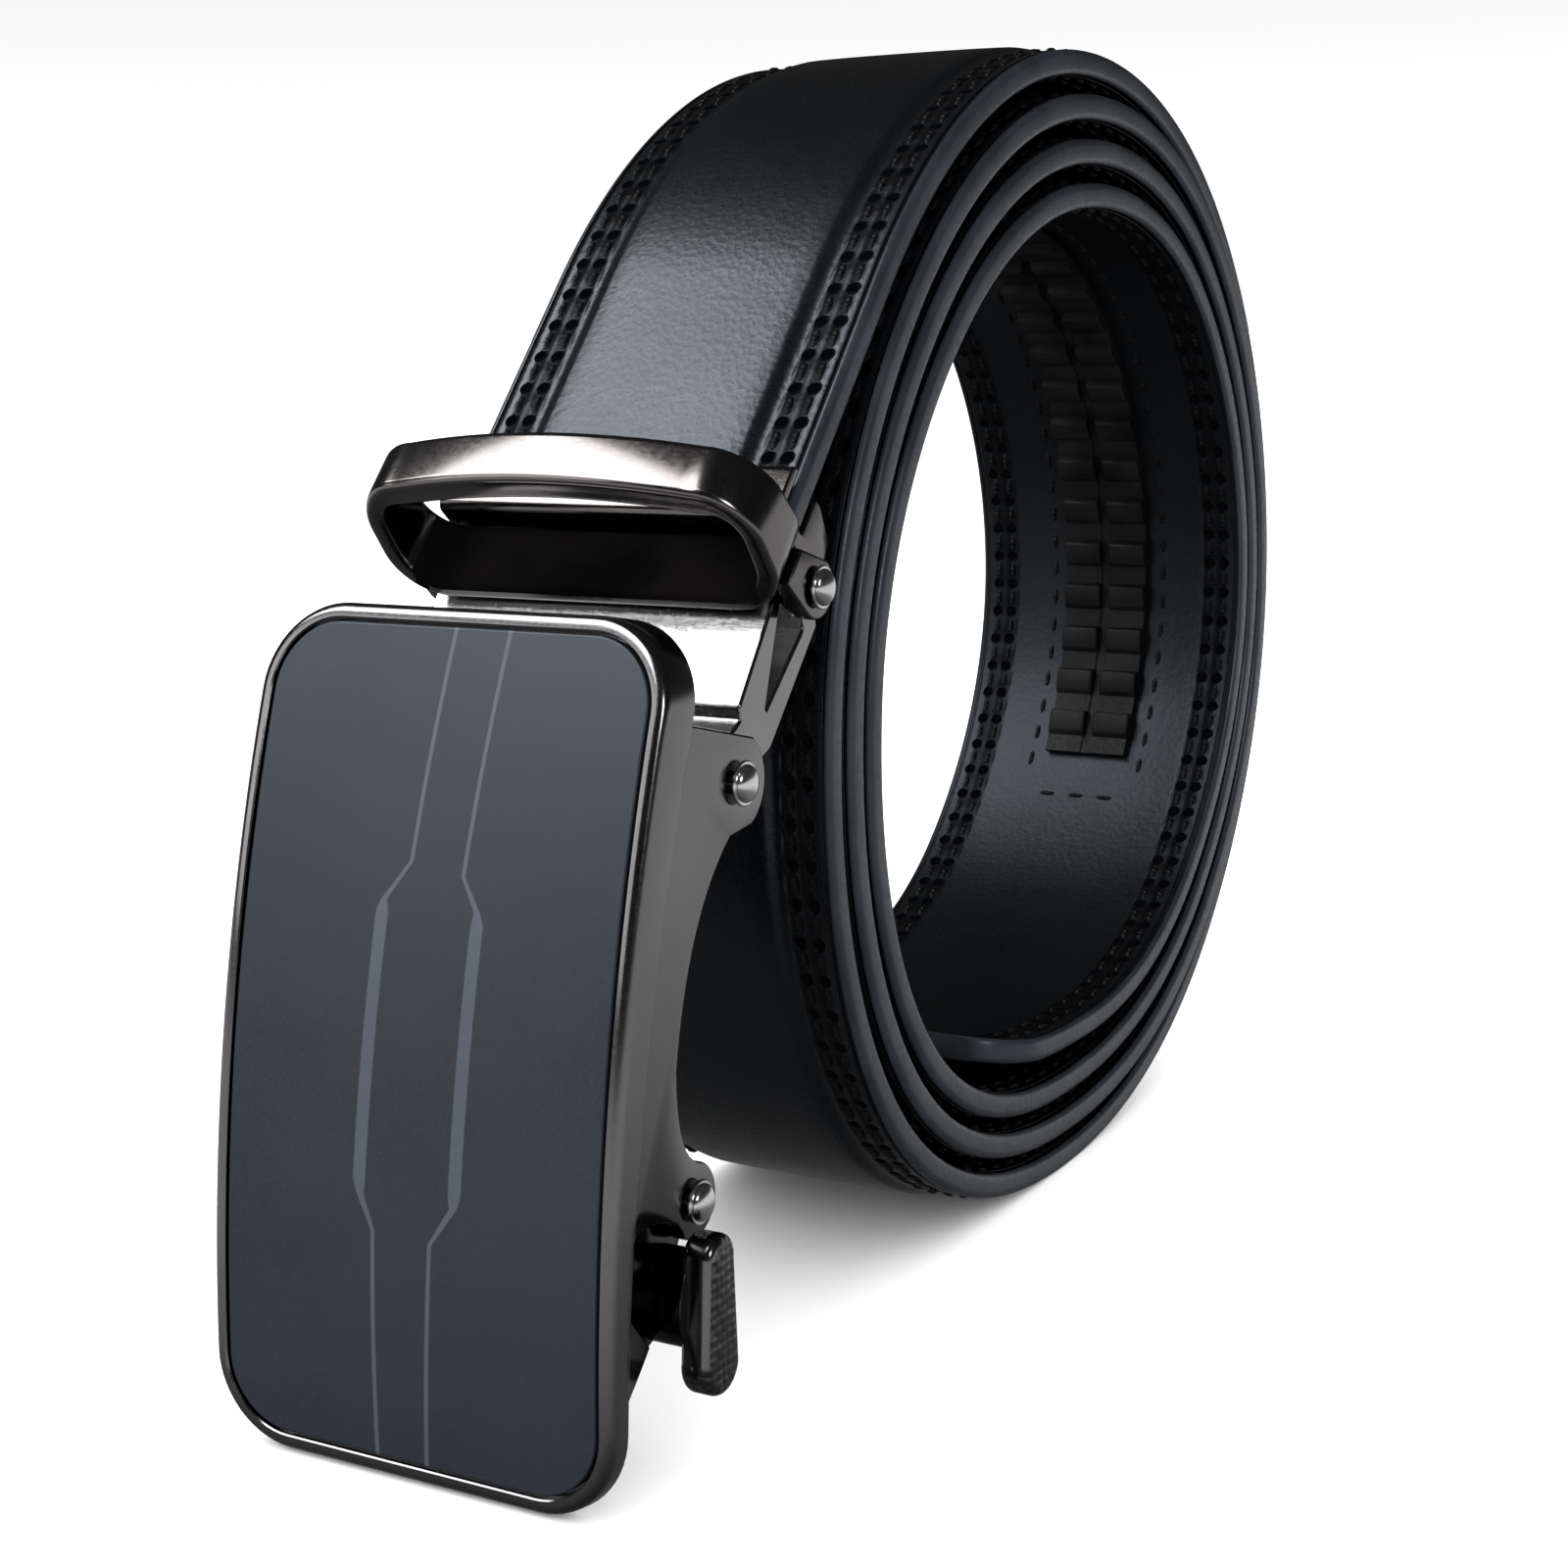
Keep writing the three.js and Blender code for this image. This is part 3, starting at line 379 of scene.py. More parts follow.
def panel_material():
    """Satin paint with two lighter stripes that jog sideways. Across and up the face in mm."""
    m = Nodes("panel_paint")
    up, across = uv_place(m)
    place = object_place(m)
    stripes = None
    for knots in (STRIPE_LEFT, STRIPE_RIGHT):
        ramp = m.node("ShaderNodeValToRGB", {"Fac": m.math("DIVIDE", up, FACE_HEIGHT)})
        for i, knot in enumerate(sorted(knots, key=lambda k: k["up"])):
            spot = knot["up"] / FACE_HEIGHT
            stop = ramp.color_ramp.elements[i] if i < 2 else ramp.color_ramp.elements.new(spot)
            stop.position = spot
            stop.color = (knot["x"] / WIDTH + 0.5, knot["half"] / 2.0, 0.0, 1.0)
        parts = m.node("ShaderNodeSeparateColor", {"Color": ramp.outputs["Color"]})
        middle = m.times(m.minus(parts.outputs["Red"], 0.5), WIDTH)
        half = m.times(parts.outputs["Green"], 2.0)
        off = m.minus(m.math("ABSOLUTE", m.minus(across, middle)), half)
        stripe = m.band(off, -0.06, 0.06, 1.0, 0.0)
        stripes = stripe if stripes is None else m.math("MAXIMUM", stripes, stripe)
    fine = m.noise(place, 4200.0, 4.0, 0.65)
    broad = m.noise(place, 45.0, 3.0)
    base = m.mix(m.band(broad, 0.35, 0.65), color(0.009, 0.0116, 0.0158), color(0.012, 0.0154, 0.0206))
    base = m.mix(m.band(fine, 0.45, 0.75), base, color(0.0158, 0.02, 0.0262))
    base = m.mix(stripes, base, color(0.045, 0.056, 0.07))
    rough = m.minus(m.band(fine, 0.3, 0.7, 0.36, 0.46), m.times(stripes, 0.08))
    normal = m.bump(fine, 0.08, 0.00006)
    normal = m.bump(stripes, 0.25, 0.00006, normal)
    return m.set(color=base, metallic=0.25, roughness=rough, normal=normal, specular=0.6,
                 tint=color(0.8, 0.9, 1.0))


STRIPE_LEFT = [
    {"up": 69.0, "x": -0.8, "half": 0.2}, {"up": 50.4, "x": -1.8, "half": 0.2},
    {"up": 47.2, "x": -4.1, "half": 0.3}, {"up": 46.2, "x": -4.2, "half": 0.62},
    {"up": 24.4, "x": -4.7, "half": 0.62}, {"up": 23.2, "x": -4.55, "half": 0.35},
    {"up": 20.4, "x": -3.2, "half": 0.2}, {"up": 2.0, "x": -3.0, "half": 0.2},
]
STRIPE_RIGHT = [
    {"up": 69.0, "x": 4.5, "half": 0.2}, {"up": 49.6, "x": 3.4, "half": 0.2},
    {"up": 46.9, "x": 5.1, "half": 0.3}, {"up": 45.9, "x": 5.2, "half": 0.62},
    {"up": 24.4, "x": 4.8, "half": 0.62}, {"up": 23.3, "x": 4.7, "half": 0.35},
    {"up": 20.1, "x": 2.5, "half": 0.2}, {"up": 2.0, "x": 2.0, "half": 0.2},
]


def paddle_material(name, tone, rough, cell):
    m = Nodes(name)
    place = object_place(m)
    pebbles = m.cells(place, 1000.0 / cell, 0.35, "SMOOTH_F1")
    fine = m.noise(place, 3000.0, 3.0)
    # Painted shade between the pebbles: half the tone where the bump is low.
    base = m.mix(m.band(pebbles, 0.1, 0.7), color(*tone), color(*[c * 0.5 for c in tone]))
    normal = m.bump(pebbles, 0.8, -0.0003)
    normal = m.bump(fine, 0.05, 0.00005, normal)
    return m.set(color=base, metallic=1.0, roughness=m.band(fine, 0.3, 0.7, rough * 0.8, rough * 1.3),
                 normal=normal)


# Mesh helpers

class Build:
    """Points and faces of one piece, with a place in millimetres for each face corner."""

    def __init__(self):
        self.points, self.faces, self.marks, self.slots = [], [], [], []

    def add(self, points, faces, marks=None, slot=0):
        """Faces index the given points, and marks hold one (along, across) for each point."""
        start = len(self.points)
        self.points.extend(points)
        for face in faces:
            self.faces.append([start + i for i in face])
            self.marks.append([marks[i] for i in face] if marks else [(0.0, 0.0)] * len(face))
            self.slots.append(slot(face) if callable(slot) else slot)

    def loft(self, rings, marks=None, closed_path=False, caps=True, slot=0):
        sides = len(rings[0])
        points = [p for ring in rings for p in ring]
        flat_marks = [mark for ring in marks for mark in ring] if marks else None
        faces = []
        bands = len(rings) if closed_path else len(rings) - 1
        for i in range(bands):
            after = (i + 1) % len(rings)
            for j in range(sides):
                k = (j + 1) % sides
                faces.append([i * sides + j, i * sides + k, after * sides + k, after * sides + j])
        if caps and not closed_path:
            faces.append(list(range(sides)))
            faces.append([(len(rings) - 1) * sides + j for j in range(sides)])
        self.add(points, faces, flat_marks, slot)

    def object(self, name, materials, matrix, body, replaces=(), sharp=35.0):
        mesh = bpy.data.meshes.new(name)
        place = [matrix @ Vector(p) * MM if matrix else Vector(p) * MM for p in self.points]
        mesh.from_pydata(place, [], self.faces)
        layer = mesh.uv_layers.new(name="place")
        corner = 0
        for marks in self.marks:
            for mark in marks:
                layer.data[corner].uv = mark
                corner += 1
        for polygon, index in zip(mesh.polygons, self.slots):
            polygon.material_index = index
            polygon.use_smooth = True
        for material in materials:
            mesh.materials.append(material)
        tidy = bmesh.new()
        tidy.from_mesh(mesh)
        bmesh.ops.recalc_face_normals(tidy, faces=tidy.faces)
        tidy.to_mesh(mesh)
        tidy.free()
        mesh.set_sharp_from_angle(angle=math.radians(sharp))
        made = bpy.data.objects.new(name, mesh)
        bpy.context.scene.collection.objects.link(made)
        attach(made, body)
        if replaces:
            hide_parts(*replaces)
        return made


def offset(outline, inset):
    """An outline of (a, b) points moved inwards; it runs counterclockwise."""
    made = []
    count = len(outline)
    for i in range(count):
        before, here, after = (Vector(outline[(i + k) % count]) for k in (-1, 0, 1))
        one, two = (here - before), (after - here)
        if one.length < 1e-9 or two.length < 1e-9:
            made.append(tuple(here))
            continue
        normal_one, normal_two = Vector((-one.y, one.x)).normalized(), Vector((-two.y, two.x)).normalized()
        bend = normal_one + normal_two
        if bend.length < 1e-6:
            made.append(tuple(here))
            continue
        bend.normalize()
        reach = inset / max(0.5, bend.dot(normal_one))
        made.append(tuple(here + bend * reach))
    return made


def area(outline):
    return sum(a[0] * b[1] - b[0] * a[1] for a, b in zip(outline, outline[1:] + outline[:1])) / 2


def round_off(outline, radius, steps=4):
    """Rounds the corners of an outline, each by no more than its sides allow."""
    made = []
    count = len(outline)
    for i in range(count):
        before, here, after = (Vector(outline[(i + k) % count]) for k in (-1, 0, 1))
        one, two = (before - here), (after - here)
        reach = min(radius, one.length * 0.45, two.length * 0.45)
        start, end = here + one.normalized() * reach, here + two.normalized() * reach
        for k in range(steps + 1):
            t = k / steps
            made.append(tuple((1 - t) ** 2 * start + 2 * t * (1 - t) * here + t * t * end))
    return made


def rounded_layers(low, high, bevel, steps):
    """(x, inset) pairs from one end to the other, with a quarter round at each."""
    first = [(low + bevel * (1 - math.cos(t)), bevel * (1 - math.sin(t)))
             for t in (math.pi / 2 * k / steps for k in range(steps + 1))]
    return first + [(high - (x - low), inset) for x, inset in reversed(first)]


def prism(build, outline, low, high, bevel, steps=3):
    """A side view of (y, z) points, run along X with rounded ends."""
    outline = list(outline)
    if area(outline) < 0:
        outline.reverse()
    rings = [[(x, y, z) for y, z in offset(outline, inset)]
             for x, inset in rounded_layers(low, high, bevel, steps)]
    build.loft(rings)


def arc(y, z, radius, start, end, steps=16):
    turns = [lerp(start, end, k / steps) for k in range(steps + 1)]
    return [(y + radius * math.cos(turn), z + radius * math.sin(turn)) for turn in turns]


def disc(y, z, radius, steps=32):
    return arc(y, z, radius, 0.0, 2 * math.pi, steps)[:-1]


def curve(a, b, c, steps=10):
    return [tuple((1 - t) ** 2 * Vector(a) + 2 * t * (1 - t) * Vector(b) + t * t * Vector(c))
            for t in (k / steps for k in range(1, steps + 1))]


# Places

pins = {joint["name"]: Vector(joint["pos_m"]) / MM for joint in frame["joints"]}
MIDDLE = pins["link_hinge"].x


def turned(y, z, angle):
    """A (y, z) point turned by an angle about X."""
    c, s = math.cos(angle), math.sin(angle)
    return Vector((y * c - z * s, y * s + z * c))


def around(angle, table):
    place = (angle % 360.0) / (360.0 / len(table))
    row = int(place)
    t = place - row
    a, b, c, d = (table[(row + k) % len(table)] for k in (-1, 0, 1, 2))
    return b + 0.5 * t * (c - a + t * (2 * a - 5 * b + 4 * c - d + t * (3 * (b - c) + d - a)))


COIL_END = COIL_START + 360.0 * COIL_TURNS


def coil_point(angle):
    turns = (angle - COIL_START) / 360.0
    lift = TIP_LIFT * smooth(angle, COIL_END - TIP_LIFT_SPAN, COIL_END)
    spacing = TIGHTEST * around(angle, OUTLINE_SPACING) * turns
    radius = COIL_RADIUS * around(angle, OUTLINE_REACH) - spacing - lift
    return Vector((-radius * math.cos(math.radians(angle)), radius * math.sin(math.radians(angle))))


def coil_direction(angle):
    return (coil_point(angle + 0.5) - coil_point(angle - 0.5)).normalized()


strap_up = coil_direction(COIL_START)
TILT = math.atan2(strap_up.x, strap_up.y)
LINK_TILT = TILT + math.radians(LINK_TURN)
LEAN = math.radians(BUCKLE_LEAN)
upper_pin = Vector((pins["link_hinge"].y, pins["link_hinge"].z))
lower_pin = Vector((pins["buckle_hinge"].y, pins["buckle_hinge"].z))
strap_end = upper_pin - turned(UPPER_PIN_Y, UPPER_PIN_Z, -TILT)
foot = lower_pin - turned(LOWER_PIN_DEPTH, LOWER_PIN_HEIGHT, -LEAN)
shift = strap_end + strap_up * STRAIGHT_RUN - coil_point(COIL_START)


def seat(place, angle):
    return Matrix.Translation((MIDDLE, place.x, place.y)) @ Matrix.Rotation(angle, 4, "X")


clasp_seat = seat(strap_end, -TILT)
link_seat = seat(upper_pin, -LINK_TILT)
buckle_seat = seat(foot, -LEAN)

stations = [(0.0, strap_end, strap_up, 0.0)]
STATION_STEP = 0.5
for i in range(int(360.0 * COIL_TURNS / STATION_STEP) + 1):
    angle = COIL_START + i * STATION_STEP
    point = coil_point(angle) + shift
    length = stations[-1][0] + (point - stations[-1][1]).length
    stations.append((length, point, coil_direction(angle), (angle - COIL_START) / 360.0))
STRAP_LENGTH = stations[-1][0]


def strap_frame(length):
    """Point on the outer face, direction out of it and the sideways step at a length."""
    low, high = 0, len(stations) - 1
    while high - low > 1:
        mid = (low + high) // 2
        if stations[mid][0] <= length:
            low = mid
        else:
            high = mid
    a, b = stations[low], stations[high]
    t = (length - a[0]) / (b[0] - a[0])
    point = a[1].lerp(b[1], t)
    direction = a[2].lerp(b[2], t).normalized()
    drift = COIL_DRIFT * smooth(lerp(a[3], b[3], t), 0.25, 1.15)
    return point, Vector((-direction.y, direction.x)), drift


def on_strap(length, x, h):
    point, out, drift = strap_frame(length)
    return (MIDDLE + x + drift, point.x + out.x * h, max(0.0, point.y + out.y * h))


# Strap

def strap_profile(share):
    """(x, h) from the outer middle round to the inner middle, one side."""
    half = WIDTH / 2 * share
    pad_edge = half - MARGIN * share
    pad_top = pad_edge - SHOULDER * share
    rows = []
    for k in range(6):
        x = pad_top * k / 6
        rows.append((x, CROWN - 0.1 * (k / 6) ** 3))
    for k in range(6):
        t = k / 5
        rows.append((lerp(pad_top, pad_edge, t), (CROWN - 0.1) * (1 - smooth(t, 0.0, 1.0))))
    for from_side in (4.9, 4.5, 4.1, 3.4, 2.9, 2.5, 2.1, 1.5, 1.12, GROOVE, 0.78):
        sink = GROOVE_SINK * math.exp(-((from_side - GROOVE) / GROOVE_SINK) ** 2)
        for row in (ROW_OUTER, ROW_INNER):
            sink += SEAM_SINK * math.exp(-((from_side - row) / SEAM_SPREAD) ** 2)
        rows.append((half - from_side * share, -sink))
    for k in range(6):
        turn = math.pi / 2 * k / 5
        rows.append((half - EDGE_ROUND * (1 - math.sin(turn)), -EDGE_ROUND_OUT * (1 - math.cos(turn))))
    for k in range(6):
        turn = math.pi / 2 * k / 5
        rows.append((half - EDGE_ROUND * (1 - math.cos(turn)),
                     -THICKNESS + EDGE_ROUND_IN * (1 - math.sin(turn))))
    for from_side in (1.4, ROW_OUTER, 3.4, ROW_INNER, 7.0, 12.0):
        sink = 0.05 if from_side in (ROW_OUTER, ROW_INNER) else 0.0
        rows.append((half - from_side * share, -THICKNESS + sink))
    return rows


def strap_share(length):
    past = max(0.0, (length - (STRAP_LENGTH - TIP_LENGTH)) / TIP_LENGTH)
    return 1 - (1 - TIP_WIDTH / WIDTH) * (1 - math.sqrt(max(0.0, 1 - past * past)))


# Rows of strap_profile between which the painted edge lies
EDGE_FIRST, EDGE_LAST = 23, 33


def build_strap():
    body = STRAP_LENGTH - TIP_LENGTH
    count = int(body / 1.25)
    lengths = [body * i / count for i in range(count + 1)]
    lengths += [body + TIP_LENGTH * math.sin(math.pi / 2 * i / 12) for i in range(1, 13)]
    rings, marks = [], []
    for length in lengths:
        share = strap_share(length)
        right = strap_profile(share)
        whole = right + [(-x, h) for x, h in reversed(right[1:])]
        point, out, drift = strap_frame(length)
        rings.append([(MIDDLE + x + drift, point.x + out.x * h, max(0.0, point.y + out.y * h))
                      for x, h in whole])
        marks.append([(length, x / share) for x, h in whole])
    sides = len(rings[0])

    def face_slot(face):
        if len(face) > 4:
            return 1
        rows = {face[0] % sides, face[1] % sides}
        if rows == {0, sides - 1}:
            return 0
        row = min(min(rows), sides - 1 - min(rows))
        return 0 if row < EDGE_FIRST else 1 if row < EDGE_LAST else 2

    build = Build()
    build.loft(rings, marks, slot=face_slot)
    finishes = [leather_material("leather", 0.25, 0.34, 0.5), edge_material(),
                leather_material("lining", 0.34, 0.46, 0.26)]
    return build.object("strap_leather", finishes, None, "strap_body", ["strap"], sharp=50.0)


def thread(build, start, middle, end, radius, sides=6, rings=5):
    """A short twisted stitch whose two ends dip into the leather."""
    points = []
    for k in range(rings):
        t = k / (rings - 1)
        points.append((1 - t) ** 2 * Vector(start) + 2 * t * (1 - t) * Vector(middle) + t * t * Vector(end))
    along = (Vector(end) - Vector(start)).normalized()
    bow = Vector(middle) - (Vector(start) + Vector(end)) / 2
    across = along.cross(bow).normalized()
    out = along.cross(across).normalized()
    rings_made, marks = [], []
    for k, point in enumerate(points):
        swell = 1.0 if 0 < k < rings - 1 else 0.7
        rings_made.append([tuple(point + (across * math.cos(a) + out * math.sin(a)) * radius * swell)
                           for a in (2 * math.pi * s / sides for s in range(sides))])
        marks.append([((point - points[0]).length, s / sides) for s in range(sides)])
    build.loft(rings_made, marks)


def build_stitches():
    build = Build()
    half = STITCH_LENGTH / 2
    last = int((STRAP_LENGTH - TIP_LENGTH * 0.6) / STITCH_PITCH)
    for i in range(1, last):
        middle = (i + 1) * STITCH_PITCH
        for side in (-1, 1):
            for row in (ROW_OUTER, ROW_INNER):
                x = side * (WIDTH / 2 - row)
                for surface, out in ((0.0, 1.0), (-THICKNESS, -1.0)):
                    ends = [on_strap(middle + d, x, surface - out * STITCH_DIP) for d in (-half, half)]
                    top = on_strap(middle, x, surface + out * STITCH_RISE)
                    if min(ends[0][2], ends[1][2], top[2]) > THREAD_RADIUS + FLOOR_GAP:
                        thread(build, ends[0], top, ends[1], THREAD_RADIUS)
    track_end = STRAP_LENGTH - TRACK_FROM_TIP
    box_low = track_end - TRACK_TEETH * TRACK_PITCH - TRACK_BOX_END
    box_high = track_end + TRACK_BOX_END
    low, high = -THICKNESS + STITCH_DIP, -THICKNESS - TRACK_STITCH_RISE
    for side in (-1, 1):
        x = side * (TRACK_WIDTH / 2 + TRACK_BOX_SIDE)
        for i in range(int((box_high - box_low) / STITCH_PITCH)):
            middle = box_low + (i + 0.5) * STITCH_PITCH
            ends = [on_strap(middle + d, x, low) for d in (-half, half)]
            thread(build, ends[0], on_strap(middle, x, high), ends[1], THREAD_RADIUS)
    for length in (box_low, box_high):
        for i in (-1, 0, 1):
            ends = [on_strap(length, i * STITCH_PITCH + d, low) for d in (-half, half)]
            thread(build, ends[0], on_strap(length, i * STITCH_PITCH, high), ends[1], THREAD_RADIUS)
    return build.object("stitching", [thread_material()], None, "strap_body")


TOOTH = [
    (0.0, 0.05), (0.25, TRACK_TOOTH * 0.75), (0.42, TRACK_TOOTH * 0.95), (0.65, TRACK_TOOTH),
    (3.0, TRACK_TOOTH * 0.7), (3.3, TRACK_TOOTH * 0.55), (3.6, 0.09), (5.95, 0.05),
]


def build_track():
    end = STRAP_LENGTH - TRACK_FROM_TIP
    start = end - TRACK_TEETH * TRACK_PITCH
    top = -THICKNESS - CLEAR
    profile = []
    for i in range(TRACK_TEETH):
        profile += [(start + i * TRACK_PITCH + along, height) for along, height in TOOTH]
    profile.append((end, 0.05))
    half, slot = TRACK_WIDTH / 2, TRACK_SLOT / 2
    rings = []
    for length, tooth in profile:
        base = top - TRACK_BASE
        low = base - tooth
        soft = min(0.2, tooth * 0.4)
        section = [(-half, top), (-half, low + soft), (-half + soft, low), (-slot - soft, low),
                   (-slot, low + soft), (-slot, base + 0.1), (slot, base + 0.1), (slot, low + soft),
                   (slot + soft, low), (half - soft, low), (half, low + soft), (half, top)]
        rings.append([on_strap(length, x, h) for x, h in section])
    build = Build()
    build.loft(rings)
    return build.object("toothed_track", [track_material()], None, "strap_body",
                        ["ratchet_track"], sharp=40.0)


# Clasp

def build_clamp():
    half = WIDTH / 2
    front, back = -(CROWN + CLEAR), THICKNESS + CLEAR
    outer = [
        (front - CLAMP_JAW, -CLEAR - CLAMP_FLOOR * 0.6), (front - CLAMP_JAW * 0.5, -CLEAR - CLAMP_FLOOR),
        (back + CLAMP_BACK * 0.2, -CLEAR - CLAMP_FLOOR), (back + CLAMP_BACK, CLAMP_GRIP * 0.1),
        (back + CLAMP_BACK * 0.9, CLAMP_GRIP * 0.6), (back + CLAMP_BACK * 0.2, CLAMP_GRIP),
        (back, CLAMP_GRIP), (back, -CLEAR), (front, -CLEAR), (front, CLAMP_GRIP),
        (front - CLAMP_JAW * 0.6, CLAMP_GRIP), (front - CLAMP_JAW, CLAMP_GRIP * 0.85),
    ]
    build = Build()
    prism(build, round_off(outer, 0.5), -half, half, 0.2)
    return build.object("end_clamp", [LOOP_METAL], clasp_seat, "strap_body", ["strap_clamp"])


def loop_rows():
    rear = LOOP_PLATE_SET_BACK + LOOP_PLATE_DEPTH / 2
    front = LOOP_PLATE_SET_BACK - LOOP_OPENING - LOOP_BAR_DEPTH / 2
    side = LOOP_INNER + LOOP_SIDE_WALL / 2
    cx, low, high = side - LOOP_CORNER, front + LOOP_CORNER, rear - LOOP_CORNER
    places = []
    for x, y, start in ((cx, high, 0), (-cx, high, 90), (-cx, low, 180), (cx, low, 270)):
        if start == 270:
            places += [(lerp(-cx, cx, k / 28), front) for k in range(1, 28)]
        for k in range(15):
            turn = math.radians(start + 90 * k / 14)
            places.append((x + LOOP_CORNER * math.cos(turn), y + LOOP_CORNER * math.sin(turn)))
    rows = []
    for x, y in places:
        forward = min(1.0, max(0.0, (rear - y) / (rear - front)))
        sideways = min(1.0, abs(x) / cx)
        on_side = smooth(abs(x), cx, side)
        height = lerp(LOOP_PLATE_HEIGHT, LOOP_BAR_HEIGHT, forward)
        top = PLATE_TOP + LOOP_BAR_RAISE * forward
        rows.append({
            "x": x, "y": y - forward ** 4 * LOOP_BAR_BOW * (1 - sideways ** 2),
            "top": top, "bottom": top - height,
            "depth": lerp(lerp(LOOP_PLATE_DEPTH, LOOP_BAR_DEPTH, forward), LOOP_SIDE_WALL, on_side),
            "edge": lerp(LOOP_PLATE_DEPTH * 0.3, LOOP_EDGE * 1.15, forward),
        })
    return rows


def build_loop():
    rows = loop_rows()
    rings = []
    for i, row in enumerate(rows):
        before, after = rows[i - 1], rows[(i + 1) % len(rows)]
        along = Vector((after["x"] - before["x"], after["y"] - before["y"])).normalized()
        out = Vector((along.y, -along.x))
        half, edge = row["depth"] / 2, min(row["edge"], row["depth"] * 0.48)
        section = []
        side, low, high = half - edge, row["bottom"] + edge, row["top"] - edge
        for dx, dz, start in ((side, low, -90), (side, high, 0), (-side, high, 90), (-side, low, 180)):
            for k in range(6):
                turn = math.radians(start + 90 * k / 5)
                section.append((dx + edge * math.cos(turn), dz + edge * math.sin(turn)))
        rings.append([(row["x"] + out.x * d, row["y"] + out.y * d, z) for d, z in section])
    build = Build()
    build.loft(rings, closed_path=True)
    tab = [(LOOP_PLATE_SET_BACK, UPPER_PIN_Z - EAR_RADIUS)]
    tab += arc(UPPER_PIN_Y, UPPER_PIN_Z, EAR_RADIUS, -math.pi / 2, math.pi / 2, 24)
    tab.append((LOOP_PLATE_SET_BACK, UPPER_PIN_Z + EAR_RADIUS * 0.3))
    for side in (-1, 1):
        low, high = sorted((side * LOOP_INNER, side * (LOOP_INNER + EAR_THICKNESS)))
        prism(build, tab, low, high, 0.25)
    # Faces inside the back plate take slot 1, the painted shade.
    for i, face in enumerate(build.faces):
        middle = sum((Vector(build.points[k]) for k in face), Vector()) / len(face)
        if abs(middle.x) < LOOP_INNER - 0.4 and -1.5 < middle.y - LOOP_PLATE_SET_BACK < 0.5:
            build.slots[i] = 1
    return build.object("keeper", [LOOP_METAL, LOOP_PAINTED_SHADE], clasp_seat, "strap_body",
                        ["keeper_loop"])


# Link

def build_link():
    low = -LINK_LENGTH
    top, waist = low * 0.06, low * 0.67
    knuckle, back = LINK_KNUCKLE, LINK_BACK
    body = [(-knuckle, top), (-knuckle * 0.5, waist), (-knuckle * 0.1, waist * 1.05), (-knuckle, low)]
    body += arc(0.0, low, knuckle, -math.pi, 0.0, 18)[1:]
    body += [(back, low * 0.66), (back, low * 0.01), (back * 0.6, knuckle * 0.6)]
    body += arc(0.0, 0.0, knuckle, math.pi * 0.4, math.pi, 14)
    hollow = [
        (-knuckle * 0.4, low * 0.13), (back * 0.5, low * 0.56), (back * 0.66, low * 0.1),
        (back * 0.45, low * 0.02), (knuckle * 0.75, low * 0.12),
    ]
    build = Build()
    solid_with_hole(build, round_off(body, 0.35, 3), round_off(hollow, 0.4, 3), -LINK_HALF, LINK_HALF, 0.25)
    # Faces running across the link take slot 1, a lighter copy of its metal: painted reflection that shows
    # the front white.
    for i, face in enumerate(build.faces):
        across = [build.points[k][0] for k in face]
        build.slots[i] = 0 if max(across) - min(across) < 1.0 else 1
    return build.object("hinge_link", [LINK_METAL, LINK_PAINTED_HIGHLIGHT], link_seat, "link",
                        ["link_plate"])


def solid_with_hole(build, outline, hole, low, high, bevel, steps=3):
    """A side view with one hole, run along X with rounded ends."""
    if area(outline) < 0:
        outline = outline[::-1]
    if area(hole) > 0:
        hole = hole[::-1]
    layers = rounded_layers(low, high, bevel, steps)
    for shape in (outline, hole):
        rings = [[(x, y, z) for y, z in offset(shape, inset)] for x, inset in layers]
        build.loft(rings, caps=False)
    for x, inset in (layers[0], layers[-1]):
        flat = bmesh.new()
        edges = []
        for shape in (outline, hole):
            points = [flat.verts.new((x, y, z)) for y, z in offset(shape, inset)]
            edges += [flat.edges.new(pair) for pair in zip(points, points[1:] + points[:1])]
        bmesh.ops.triangle_fill(flat, use_beauty=True, use_dissolve=False, edges=edges)
        flat.verts.index_update()
        build.add([tuple(v.co) for v in flat.verts], [[v.index for v in f.verts] for f in flat.faces])
        flat.free()


# Buckle

def face_depth(z):
    share = (z - FACE_HEIGHT / 2) / (FACE_HEIGHT / 2)
    return -FACE_BULGE * (1 - share * share)


def rim_depth(z):
    return lerp(RIM_FOOT_DEPTH, RIM_DEPTH, z / FACE_HEIGHT)


def face_outline(inset):
    """Right half of the face's rounded outline, from its foot to its top."""
    half, corner = FACE_HALF - inset, max(FACE_CORNER - inset, RIM_EDGE)
    low, high = inset, FACE_HEIGHT - inset
    points = []
    for k in range(15):
        turn = math.pi / 2 * k / 14
        points.append((half - corner + corner * math.sin(turn), low + corner - corner * math.cos(turn)))
    points += [(half, lerp(low + corner, high - corner, k / 30)) for k in range(1, 30)]
    for k in range(15):
        turn = math.pi / 2 * k / 14
        points.append((half - corner + corner * math.cos(turn), high - corner + corner * math.sin(turn)))
    return points


def bent_ring(inset, depth):
    right = face_outline(inset)
    whole = right + [(-x, z) for x, z in reversed(right)]
    return [(x, face_depth(z) + depth(z), z) for x, z in whole]


